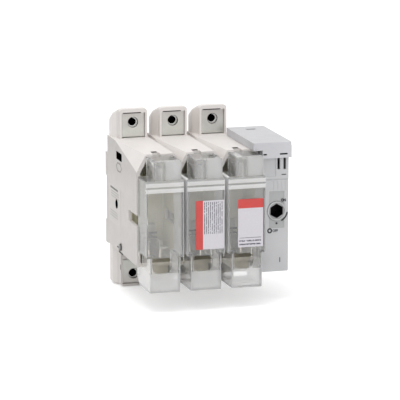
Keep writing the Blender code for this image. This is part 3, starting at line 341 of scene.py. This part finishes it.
def grey_moulding():
    made, tree, shader = finish_of("grey_moulding")
    x, y, z = coordinates(tree)
    field_y = (MODULE_FRONT_Y + 0.0003, MODULE_FRONT_Y + 0.001)
    field = within(tree, (x, *HUB_FIELD_X), (z, *HUB_FIELD_Z), (y, *field_y))
    colour = toned(tree, 38.0, MODULE_GREY, 0.035)
    tree.links.new(mixed(tree, field, colour, FIELD_GREY), shader.inputs["Base Color"])
    moulded_skin(tree, shader, (0.36, 0.5))
    return made


def moulded(name, colour, contrast=0.03, roughness=(0.38, 0.52), grain=1400.0):
    made, tree, shader = finish_of(name)
    tree.links.new(toned(tree, 38.0, colour, contrast), shader.inputs["Base Color"])
    moulded_skin(tree, shader, roughness, grain)
    return made


def roof_moulding():
    made, tree, shader = finish_of("roof_moulding")
    # The top is painted darker than the front lip, as shade.
    fascia = within(tree, (coordinates(tree)[1], -0.13, FASCIA_Y + SEEN_DEPTH))
    colour = mixed(tree, fascia, toned(tree, 38.0, ROOF_TOP_SHADED_GREY, 0.03), toned(tree, 38.0, FASCIA_GREY, 0.03))
    tree.links.new(colour, shader.inputs["Base Color"])
    moulded_skin(tree, shader, (0.42, 0.55))
    return made


coat(["mechanism_front", "mechanism_housing"], grey_moulding())
coat(["mechanism_roof"], roof_moulding())
ease_edges(["mechanism_front", "mechanism_roof", "mechanism_housing"], 0.0003)


# Fuse covers: clear polycarbonate, each one moulding that swings down on a pin. The white haze on its
# grip ridges, front corners, the walls between covers and the right of the cap is painted highlight,
# the outer wall of the left cover is painted darker as shade, and the snout is cloudier than the window.
FORWARD = -0.2
COVER_FRONT_Y = -0.134
HALF_COVER = 0.0165
HALF_SNOUT = 0.0133
COVER_SHELF_Z = 0.0352
COVER_BOX_BOTTOM_Z = -0.031
NOTCH_BOTTOM_Z = -0.0445
SNOUT_BOTTOM_Z = -0.061
CORNER_BAND = 0.0009
RIDGE_PAINTED_HIGHLIGHT, GRIP_PAINTED_HIGHLIGHT, GAP_PAINTED_HIGHLIGHT, CORNER_PAINTED_HIGHLIGHT, SNOUT_HAZE = 0.72, 0.3, 0.92, 0.38, 0.31
CAP_PAINTED_HIGHLIGHT = (0.24, 0.38)
WINDOW_HAZE = (0.07, 0.15)
OUTER_FLANK_PAINTED_SHADE = (0.54, 0.53, 0.52)
CLEAR_TONES = ((0.975, 0.975, 0.975), (0.99, 0.99, 0.99))


def clear_moulding():
    made, tree, shader = finish_of("clear_moulding")
    x, y, z = coordinates(tree)
    across = from_pole(tree, x)
    side = maths(tree, "ABSOLUTE", across)
    face = (y, FORWARD, COVER_FRONT_Y + SEEN_DEPTH)
    front = (y, FORWARD, COVER_FRONT_Y + CORNER_BAND)
    ridges = either(
        tree, within(tree, face, (z, 0.0248, 0.0284)), within(tree, face, (z, 0.0298, 0.0334)),
    )
    grip = within(tree, face, (z, 0.0248, 0.0353))
    box_side = (side, HALF_COVER - CORNER_BAND, 0.02)
    snout_side = (side, HALF_SNOUT - CORNER_BAND, HALF_SNOUT + CORNER_BAND)
    corners = either(
        tree,
        within(tree, front, box_side, (z, COVER_BOX_BOTTOM_Z, COVER_SHELF_Z)),
        within(tree, front, snout_side, (z, SNOUT_BOTTOM_Z, COVER_BOX_BOTTOM_Z)),
        within(tree, front, (z, -0.07, SNOUT_BOTTOM_Z + CORNER_BAND)),
    )
    snout = within(tree, (z, -0.07, NOTCH_BOTTOM_Z))
    cap = within(tree, (z, COVER_SHELF_Z, 0.06), (y, FORWARD, COVER_FRONT_Y + 0.004))
    flank = within(tree, (side, HALF_COVER - 0.002, 0.02), (y, COVER_FRONT_Y + 0.002, 0.0))
    outer_flank = maths(tree, "MULTIPLY", flank, maths(tree, "LESS_THAN", x, -POLE_PITCH - 0.01))
    in_gap = maths(tree, "SUBTRACT", flank, outer_flank)
    # Besides the window's own haze, the haze on ridges, grip, gap walls, corners and cap is painted
    # highlight.
    haze_and_painted_highlight = either(
        tree,
        spread(tree, noise(tree, 70.0), *WINDOW_HAZE),
        maths(tree, "MULTIPLY", ridges, RIDGE_PAINTED_HIGHLIGHT),
        maths(tree, "MULTIPLY", grip, GRIP_PAINTED_HIGHLIGHT),
        maths(tree, "MULTIPLY", in_gap, GAP_PAINTED_HIGHLIGHT),
        maths(tree, "MULTIPLY", corners, CORNER_PAINTED_HIGHLIGHT),
        maths(tree, "MULTIPLY", snout, SNOUT_HAZE),
        maths(tree, "MULTIPLY", cap, spread(tree, across, *CAP_PAINTED_HIGHLIGHT, start=0.0, end=0.002)),
    )
    tree.links.new(maths(tree, "SUBTRACT", 1.0, haze_and_painted_highlight), shader.inputs["Transmission Weight"])
    shader.inputs["IOR"].default_value = 1.49
    flow = noise(tree, 60.0, detail=2.0, stretch=(1.0, 1.0, 0.5))
    clear = mixed(tree, flow, *CLEAR_TONES)
    # The left cover's outer wall is painted darker, as shade.
    flank_shaded = mixed(tree, outer_flank, clear, OUTER_FLANK_PAINTED_SHADE)
    tree.links.new(flank_shaded, shader.inputs["Base Color"])
    tree.links.new(spread(tree, noise(tree, 220.0), 0.02, 0.07), shader.inputs["Roughness"])
    grained(tree, shader, flow, strength=0.12, distance=0.0004)
    return made


coat(on_poles("fuse_cover"), clear_moulding())
ease_edges(on_poles("fuse_cover"), 0.0005)


# Terminal bars and contact bridges: copper strip, punched, bent and tinned. The tin is painted a little
# darker towards the outer end, as shade.
TIN = (0.62, 0.625, 0.59)
TIN_WITH_PAINTED_SHADE = (0.53, 0.505, 0.485)


def drawn(tree, shader, roughness, stretch=(1.0, 1.0, 1.0)):
    """The fine marks that drawing and plating leave, in gloss and in height."""
    marks = noise(tree, 420.0, detail=4.0, stretch=stretch)
    tree.links.new(spread(tree, marks, *roughness), shader.inputs["Roughness"])
    grained(tree, shader, marks, strength=0.12, distance=0.00004)


def tinned_copper():
    made, tree, shader = finish_of("tinned_copper")
    height = maths(tree, "ABSOLUTE", coordinates(tree)[2])
    # Painted shade: darker towards the outer end.
    outer_shade = spread(tree, height, 0.0, 1.0, start=0.060, end=0.076)
    colour = mixed(tree, outer_shade, toned(tree, 90.0, TIN, 0.06), toned(tree, 90.0, TIN_WITH_PAINTED_SHADE, 0.08))
    tree.links.new(colour, shader.inputs["Base Color"])
    shader.inputs["Metallic"].default_value = 1.0
    drawn(tree, shader, (0.3, 0.46), (10.0, 1.0, 1.0))
    return made


coat(on_both("terminal_bar") + on_both("bridge_contact"), tinned_copper())
ease_edges(on_both("terminal_bar"), 0.00025)


# Captive nuts: zinc plated steel, held from turning by hexagon pockets behind the terminal plates.
# Their threaded bores are deep, and are painted black without gloss as the shade inside.
NUT_ZINC = (0.80, 0.80, 0.79)
NUT_BORE = 0.00345


def zinc_nut():
    made, tree, shader = finish_of("zinc_nut")
    x, _, z = coordinates(tree)
    across = from_pole(tree, x)
    up = maths(tree, "SUBTRACT", maths(tree, "ABSOLUTE", z), TERMINAL_HOLE_Z)
    squares = maths(tree, "ADD", maths(tree, "MULTIPLY", across, across), maths(tree, "MULTIPLY", up, up))
    # Painted shade: the bore black and without gloss.
    bore = maths(tree, "LESS_THAN", squares, NUT_BORE ** 2)
    colour = mixed(tree, bore, toned(tree, 90.0, NUT_ZINC, 0.06), BLACK)
    tree.links.new(colour, shader.inputs["Base Color"])
    tree.links.new(spread(tree, bore, 1.0, 0.0, start=0.0, end=1.0), shader.inputs["Metallic"])
    without_gloss(tree, shader, bore)
    drawn(tree, shader, (0.24, 0.4))
    return made


coat(on_both("captive_nut"), zinc_nut())


# Fuse jaws: silvered copper alloy leaves on a strap that passes through the bay's back wall. The straps
# and the roots of the leaves wear a moulded shroud in the bay's colour, and only the tips are bare.
BARE_TIP_Z = -0.0312
STRAP_FRONT_Y = -0.0770
SHROUD_TONE = (0.56, 0.55, 0.49)
BARE_ALLOY = (0.74, 0.68, 0.58)


def jaw_metal():
    made, tree, shader = finish_of("jaw_metal")
    _, y, z = coordinates(tree)
    on_strap = maths(tree, "GREATER_THAN", y, STRAP_FRONT_Y)
    shroud = either(tree, on_strap, maths(tree, "GREATER_THAN", z, BARE_TIP_Z))
    bare = toned(tree, 90.0, BARE_ALLOY, 0.10)
    colour = mixed(tree, shroud, bare, toned(tree, 90.0, SHROUD_TONE, 0.05))
    tree.links.new(colour, shader.inputs["Base Color"])
    tree.links.new(spread(tree, shroud, 1.0, 0.0, start=0.0, end=1.0), shader.inputs["Metallic"])
    drawn(tree, shader, (0.22, 0.36), (1.0, 1.0, 14.0))
    return made


coat(on_both("fuse_jaw"), jaw_metal())


# Rings, pins, rods and gears: turned or bent steel. The jaw rings and tie rods are blackened, and the
# hinge pins, pinion and rack spring are zinc plated.
BLACKENED = (0.12, 0.12, 0.115)
ZINC = (0.60, 0.60, 0.59)


def plated_steel(name, colour):
    made, tree, shader = finish_of(name)
    tree.links.new(toned(tree, 90.0, colour, 0.07), shader.inputs["Base Color"])
    shader.inputs["Metallic"].default_value = 1.0
    drawn(tree, shader, (0.24, 0.38), (1.0, 6.0, 1.0))
    return made


blackened_pieces = on_both("jaw_spring") + ["tie_rod_upper", "tie_rod_lower"]
zinc_pieces = on_poles("cover_hinge_pin") + ["drive_pinion", "rack_spring"]
coat(blackened_pieces, plated_steel("blackened_steel", BLACKENED))
coat(zinc_pieces, plated_steel("zinc_steel", ZINC))


# Contact carriers, crossbar and rack: near-black glass-filled moulding with a soft sheen. The crossbar
# joins the three carriers, and the rack lifts them all inside the casings.
CARRIER_BLACK = (0.022, 0.022, 0.024)
black_moulding = moulded("black_moulding", CARRIER_BLACK, contrast=0.15, roughness=(0.35, 0.5))
coat(on_poles("contact_carrier") + ["crossbar", "drive_rack"], black_moulding)


# Drive hub and its bush: the hub is grey moulding round a deep hexagon socket for the handle's shaft,
# which is painted black with little gloss as the shade down it. It turns in a paler ring that's pressed
# into the front plate.
HUB_X = 0.068
SOCKET_FLAT = 0.0056
SOCKET_BLACK = (0.006, 0.006, 0.007)
HUB_RIM_GREY = (0.42, 0.422, 0.425)
BUSH_GREY = (0.60, 0.605, 0.61)


def hub_moulding():
    made, tree, shader = finish_of("hub_moulding")
    x, _, z = coordinates(tree)
    aside = maths(tree, "SUBTRACT", x, HUB_X)
    reach = maths(tree, "ABSOLUTE", aside)
    for slope in (math.radians(60), math.radians(-60)):
        along = maths(tree, "MULTIPLY", aside, math.cos(slope))
        up = maths(tree, "MULTIPLY", z, math.sin(slope))
        reach = maths(tree, "MAXIMUM", reach, maths(tree, "ABSOLUTE", maths(tree, "ADD", along, up)))
    # Painted shade: the socket black, with little gloss.
    socket = maths(tree, "LESS_THAN", reach, SOCKET_FLAT)
    colour = mixed(tree, socket, toned(tree, 300.0, HUB_RIM_GREY, 0.2), SOCKET_BLACK)
    tree.links.new(colour, shader.inputs["Base Color"])
    gloss = spread(tree, socket, 0.5, 0.15, start=0.0, end=1.0)
    tree.links.new(gloss, shader.inputs["Specular IOR Level"])
    moulded_skin(tree, shader, (0.3, 0.45))
    return made


coat(["drive_hub"], hub_moulding())
coat(["hub_bush"], moulded("bush_moulding", BUSH_GREY, roughness=(0.3, 0.42)))
ease_edges(["hub_bush"], 0.0002)


# Rating plate and sight hole: a bare grey foil stuck to the left wall, with a few plain rules where the
# ratings would be. A dark disc over the hole is painted shade for its dark inside.
PLATE_Y = (-0.0530, -0.0120)
PLATE_Z = (-0.0210, 0.0120)
SIGHT_HOLE_Y, SIGHT_HOLE_Z = -0.0395, -0.002
SIGHT_HOLE_RADIUS = 0.0041
RATING_GREY = (0.63, 0.605, 0.58)
RULE_PITCH = 0.0022
RULE_SHADE, HEADING_SHADE = 0.62, 0.25
FOIL = 0.00015


def tile(bm, x, y, z, corner=0.0):
    """A thin plate between the given ranges, with the corners across its thin side rounded."""
    size = Vector([high - low for low, high in (x, y, z)])
    centre = Vector([(low + high) / 2 for low, high in (x, y, z)])
    made = bmesh.ops.create_cube(bm, size=1.0, matrix=Matrix.LocRotScale(centre, None, size))
    if corner:
        thin = min(range(3), key=lambda axis: size[axis])
        edges = {edge for vertex in made["verts"] for edge in vertex.link_edges}
        upright = [e for e in edges if abs(e.verts[0].co[thin] - e.verts[1].co[thin]) > size[thin] / 2]
        bmesh.ops.bevel(
            bm, geom=upright, offset=corner, offset_type="OFFSET", segments=4, profile=0.5,
            affect="EDGES", material=-1,
        )


def new_piece(name, bm, made, body):
    """A piece built in place, so its object stays at the origin."""
    mesh = bpy.data.meshes.new(name)
    bm.to_mesh(mesh)
    bm.free()
    mesh.materials.append(made)
    obj = bpy.data.objects.new(name, mesh)
    scene.collection.objects.link(obj)
    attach(obj, body)


def rating_foil():
    made, tree, shader = finish_of("rating_foil")
    _, y, z = coordinates(tree)
    line = maths(tree, "FRACT", maths(tree, "DIVIDE", z, RULE_PITCH))
    upper = within(tree, (line, 0.0, 0.35), (y, -0.0480, -0.0200), (z, 0.0010, 0.0078))
    lower = within(tree, (line, 0.0, 0.35), (y, -0.0430, -0.0170), (z, -0.0165, -0.0088))
    heading = within(tree, (y, -0.0440, -0.0180), (z, 0.0090, 0.0108))
    rule = shaded(RATING_GREY, RULE_SHADE)
    colour = mixed(tree, either(tree, upper, lower), toned(tree, 38.0, RATING_GREY, 0.03), rule)
    colour = mixed(tree, heading, colour, shaded(RATING_GREY, HEADING_SHADE))
    tree.links.new(colour, shader.inputs["Base Color"])
    moulded_skin(tree, shader, (0.45, 0.6), 2400.0)
    return made


bm = bmesh.new()
tile(bm, (LEFT_X - FOIL, LEFT_X), PLATE_Y, PLATE_Z, 0.0010)
new_piece("rating_plate", bm, rating_foil(), "frame")

shade = moulded("deep_shade", BLACK, contrast=0.0, roughness=(0.8, 0.9))
shade.node_tree.nodes["Principled BSDF"].inputs["Specular IOR Level"].default_value = 0.0
facing_left = Matrix.Rotation(math.radians(-90), 4, "Y")
# A black disc over the sight hole, painted shade.
bm = bmesh.new()
bmesh.ops.create_cone(
    bm, cap_ends=True, segments=24, radius1=SIGHT_HOLE_RADIUS, radius2=SIGHT_HOLE_RADIUS, depth=FOIL,
    matrix=Matrix.Translation((LEFT_X - FOIL, SIGHT_HOLE_Y, SIGHT_HOLE_Z)) @ facing_left,
)
new_piece("sight_hole_shade", bm, shade, "frame")


# Marks on the left wall, painted as the shade of moulded features: a dark grey outline round a raised
# hexagon under the rod's pocket, and below, black strips for the gap round the lower rod's head and for
# a vent slot in the side of the terminal housing.
HEXAGON_Y, HEXAGON_Z = -0.0478, 0.0318
HEXAGON_REACH = (0.0097, 0.0046)
HEXAGON_LINE = 0.0010
HEXAGON_SHADE = (0.20, 0.19, 0.18)
MARK_DEPTH = 0.0001


def ring(bm, place, radius, width, segments=32):
    """A flat ring in the plane that place turns it to."""
    made = bmesh.ops.create_circle(bm, cap_ends=True, segments=segments, radius=radius, matrix=place)
    middle = made["verts"][0].link_faces[0]
    bmesh.ops.inset_region(bm, faces=[middle], thickness=width, use_boundary=True, use_even_offset=True)
    bmesh.ops.delete(bm, geom=[middle], context="FACES")


# A dark grey outline, painted as the shade round the raised hexagon's edge.
bm = bmesh.new()
centre = Vector((LEFT_X - MARK_DEPTH, HEXAGON_Y, HEXAGON_Z))
stretched = Matrix.LocRotScale(centre, None, Vector((1.0, *HEXAGON_REACH)))
ring(bm, stretched @ facing_left, 1.0, HEXAGON_LINE, 6)
hexagon_shade = moulded("hexagon_shade", HEXAGON_SHADE, contrast=0.06)
new_piece("hexagon_edge_shade", bm, hexagon_shade, "frame")

# Black strips, painted as the shade in the gaps.
bm = bmesh.new()
on_left = (LEFT_X - FOIL, LEFT_X)
tile(bm, on_left, (-0.0552, -0.0400), (-0.0398, -0.0391))
tile(bm, on_left, (-0.0605, -0.0465), (-0.0432, -0.0423), 0.0003)
tile(bm, on_left, (-0.0475, -0.0462), (-0.0428, -0.0402))
tile(bm, (HOUSING_SIDE_X - FOIL, HOUSING_SIDE_X), (-0.0304, -0.0296), (-0.0631, -0.0586))
new_piece("wall_gap_shades", bm, shade, "frame")


# Gaps in the bays, painted as shade: the dark seam over the wing of each lower jaw, thin on the left and
# thick on the right, and a fine upright moulding line above it.
SEAM_Y = (-0.07492, -0.07482)
SEAM_SHADE = (0.05, 0.045, 0.04)

bm = bmesh.new()
for pole in POLES.values():
    tile(bm, (pole - 0.0055, pole + 0.0010), SEAM_Y, (-0.0214, -0.0208))
    tile(bm, (pole + 0.0010, pole + 0.0088), SEAM_Y, (-0.0225, -0.0208))
    tile(bm, (pole + 0.0005, pole + 0.0011), (BAY_BACK_Y - MARK_DEPTH, BAY_BACK_Y), (-0.0150, -0.0065))
new_piece("bay_gap_shades", bm, moulded("bay_gap_shade", SEAM_SHADE), "frame")


# Gaps round the terminal plates, painted as shade: the plates drop into their windows from the front with
# a narrow dark slot above, a hairline on the left, and a fine dark ring round the edge of each hole.
WINDOW_FRONT_Y = -0.031
PLATE_FRONT_Y = -0.0285
HOLE_RADIUS = 0.00425
HOLE_LINE = 0.0004

facing_front = Matrix.Rotation(math.radians(90), 4, "X")
on_window = (WINDOW_FRONT_Y - MARK_DEPTH, WINDOW_FRONT_Y)
beside_plate = (PLATE_FRONT_Y - MARK_DEPTH, PLATE_FRONT_Y)
bm = bmesh.new()
for pole in POLES.values():
    tile(bm, (pole - 0.0096, pole + 0.0066), on_window, (0.0757, 0.0765), 0.0003)
    tile(bm, (pole - 0.0103, pole - 0.0098), beside_plate, (0.0556, 0.0748))
    for z in (TERMINAL_HOLE_Z, -TERMINAL_HOLE_Z):
        place = Matrix.Translation((pole, PLATE_FRONT_Y - MARK_DEPTH / 2, z)) @ facing_front
        ring(bm, place, HOLE_RADIUS + HOLE_LINE, HOLE_LINE)
new_piece("plate_gap_shades", bm, shade, "frame")


# Release slots: behind the notch for each cover's latch, the casing's top has a short slot for the
# screwdriver that frees it. A dark dash is painted there as the shade inside the slot.
bm = bmesh.new()
for pole in POLES.values():
    tile(bm, (pole - 0.0025, pole + 0.0025), (-0.1010, -0.0962), (0.0535, 0.0536), 0.0004)
new_piece("release_slot_shades", bm, shade, "frame")


# Stickers: white paper with a red band, stuck on the middle and right covers. Plain grey rules stand
# where the instructions would be.
PAPER = (0.69, 0.665, 0.71)
RED = (0.64, 0.07, 0.062)
INK_GREY = (0.11, 0.11, 0.14)
GLUE = 0.00006


def sticker_paper(name, band, rules):
    """band is (axis, low, high) of the red part, and rules is (axis, pitch, range, cross range)."""
    made, tree, shader = finish_of(name)
    place = dict(zip("XYZ", coordinates(tree)))
    axis, pitch, along, cross = rules
    start = maths(tree, "SUBTRACT", place[axis], along[0])
    line = maths(tree, "FRACT", maths(tree, "DIVIDE", start, pitch))
    other = "X" if axis == "Z" else "Z"
    ruled = within(tree, (line, -1.0, 0.42), (place[axis], *along), (place[other], *cross))
    gaps = maths(tree, "GREATER_THAN", noise(tree, 900.0, detail=1.0), 0.42)
    ink = maths(tree, "MULTIPLY", ruled, gaps)
    field = mixed(tree, ink, toned(tree, 900.0, PAPER, 0.03), INK_GREY)
    red = toned(tree, 120.0, RED, 0.05)
    in_band = within(tree, (place[band[0]], *band[1:]))
    tree.links.new(mixed(tree, in_band, field, red), shader.inputs["Base Color"])
    tree.links.new(spread(tree, noise(tree, 300.0), 0.35, 0.5), shader.inputs["Roughness"])
    grained(tree, shader, noise(tree, 1800.0), strength=0.1, distance=0.00003)
    return made


on_cover = (COVER_FRONT_Y - GLUE - MARK_DEPTH, COVER_FRONT_Y - GLUE)
bm = bmesh.new()
tile(bm, (-0.0090, 0.0158), on_cover, (-0.0257, 0.0164), 0.0006)
upright_rules = ("X", 0.0017, (-0.0018, 0.0150), (-0.0125, 0.0150))
upright = sticker_paper("sticker_upright", ("X", -0.0091, -0.0028), upright_rules)
new_piece("sticker_middle", bm, upright, "cover_middle")
bm = bmesh.new()
tile(bm, (0.0280, 0.0503), on_cover, (-0.0258, 0.0158), 0.0006)
level_rules = ("Z", 0.0030, (-0.0240, -0.0175), (0.0290, 0.0485))
level = sticker_paper("sticker_level", ("Z", 0.0079, 0.0160), level_rules)
new_piece("sticker_right", bm, level, "cover_right")


# Marks on the front plate: ON, O and OFF printed in black beside the hub, the arc that shows the
# handle's travel between them, and short dashes in the same black, painted as the shade in moulding gaps.
ARC_RADIUS = 0.0102
ARC_WIDTH = 0.0013
ARC_ENDS = (math.radians(-8), math.radians(-64))
INK_AND_GAP_BLACK = (0.03, 0.03, 0.034)
ink = moulded("ink_and_gap_shade", INK_AND_GAP_BLACK, contrast=0.1, roughness=(0.5, 0.6))


def printed(name, words, across, up, boldness):
    """Words that fill the given ranges of X and Z on the front plate."""
    text = bpy.data.curves.new(name, "FONT")
    text.body = words
    text.extrude = 0.5
    text.offset = boldness
    holder = bpy.data.objects.new(name + "_text", text)
    scene.collection.objects.link(holder)
    bpy.context.view_layer.update()
    mesh = bpy.data.meshes.new_from_object(holder)
    bpy.data.objects.remove(holder)
    low, high = (
        Vector([pick(v.co[axis] for v in mesh.vertices) for axis in range(3)]) for pick in (min, max)
    )
    share = ((across[1] - across[0]) / (high.x - low.x), (up[1] - up[0]) / (high.y - low.y), MARK_DEPTH)
    corner = Matrix.Translation((across[0], MODULE_FRONT_Y, up[0]))
    mesh.transform(corner @ facing_front @ Matrix.Diagonal((*share, 1.0)) @ Matrix.Translation(-low))
    mesh.materials.clear()
    mesh.materials.append(ink)
    obj = bpy.data.objects.new(name, mesh)
    scene.collection.objects.link(obj)
    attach(obj, "frame")


printed("mark_on", "ON", (0.0719, 0.0763), (0.0079, 0.0106), 0.06)
printed("mark_zero", "O", (0.0596, 0.0640), (-0.0193, -0.0147), 0.07)
printed("mark_off", "OFF", (0.0644, 0.0692), (-0.0184, -0.0160), 0.03)

bm = bmesh.new()
round_hub = Matrix.Translation((HUB_X, MODULE_FRONT_Y - MARK_DEPTH, 0.0)) @ facing_front
ring(bm, round_hub, ARC_RADIUS, ARC_WIDTH, 64)
for end, sense in zip(ARC_ENDS, (1, -1)):
    outwards = Vector((-math.sin(end), 0.0, math.cos(end))) * sense
    bmesh.ops.bisect_plane(
        bm, geom=bm.verts[:] + bm.edges[:] + bm.faces[:], plane_co=(HUB_X, MODULE_FRONT_Y, 0.0),
        plane_no=outwards, clear_outer=True,
    )
on_plate = (MODULE_FRONT_Y - MARK_DEPTH, MODULE_FRONT_Y)
tile(bm, (0.0671, 0.0688), on_plate, (-0.0116, -0.0100), 0.0005)
# Two dashes in the same black, painted as the shade in moulding gaps.
tile(bm, (0.0722, 0.0763), on_plate, (0.0312, 0.0320), 0.0002)
tile(bm, (0.0707, 0.0714), on_plate, (-0.0450, -0.0408), 0.0002)
new_piece("plate_marks", bm, ink, "frame")


# Roof slots: dark tiles painted as the shade in two short slots moulded through the lip, and in the
# cover screw's slot in the top.
ON_LIP_Y = (-0.1196, -0.1195)
bm = bmesh.new()
for slot_x in ((0.0549, 0.0579), (0.0695, 0.0764)):
    tile(bm, slot_x, ON_LIP_Y, (0.0496, 0.0508), 0.0003)
tile(bm, (0.0603, 0.0685), (-0.0539, -0.0497), (0.0571, 0.0594))
new_piece("roof_slot_shades", bm, shade, "frame")


# Floor: a plain white sweep just below the lowest housing, which takes the soft shadow. It glows a
# little to the camera, so that it looks white without more light on the object.
FLOOR_GAP = 0.0004
FLOOR_WHITE = (0.66, 0.66, 0.66)
FLOOR_GLOW = 0.46

bm = bmesh.new()
below = Matrix.Translation((0.0, 0.0, cad_box[0][2] - FLOOR_GAP))
bmesh.ops.create_grid(bm, x_segments=1, y_segments=1, size=4.0, matrix=below)
mesh = bpy.data.meshes.new("floor")
bm.to_mesh(mesh)
bm.free()
floor_paper, tree, shader = finish_of("floor_paper")
tree.links.new(toned(tree, 6.0, FLOOR_WHITE, 0.01), shader.inputs["Base Color"])
shader.inputs["Roughness"].default_value = 0.9
shader.inputs["Emission Color"].default_value = (1.0, 1.0, 1.0, 1.0)
tree.links.new(seen_ray(tree, 0.0, FLOOR_GLOW), shader.inputs["Emission Strength"])
mesh.materials.append(floor_paper)
floor = bpy.data.objects.new("floor", mesh)
scene.collection.objects.link(floor)
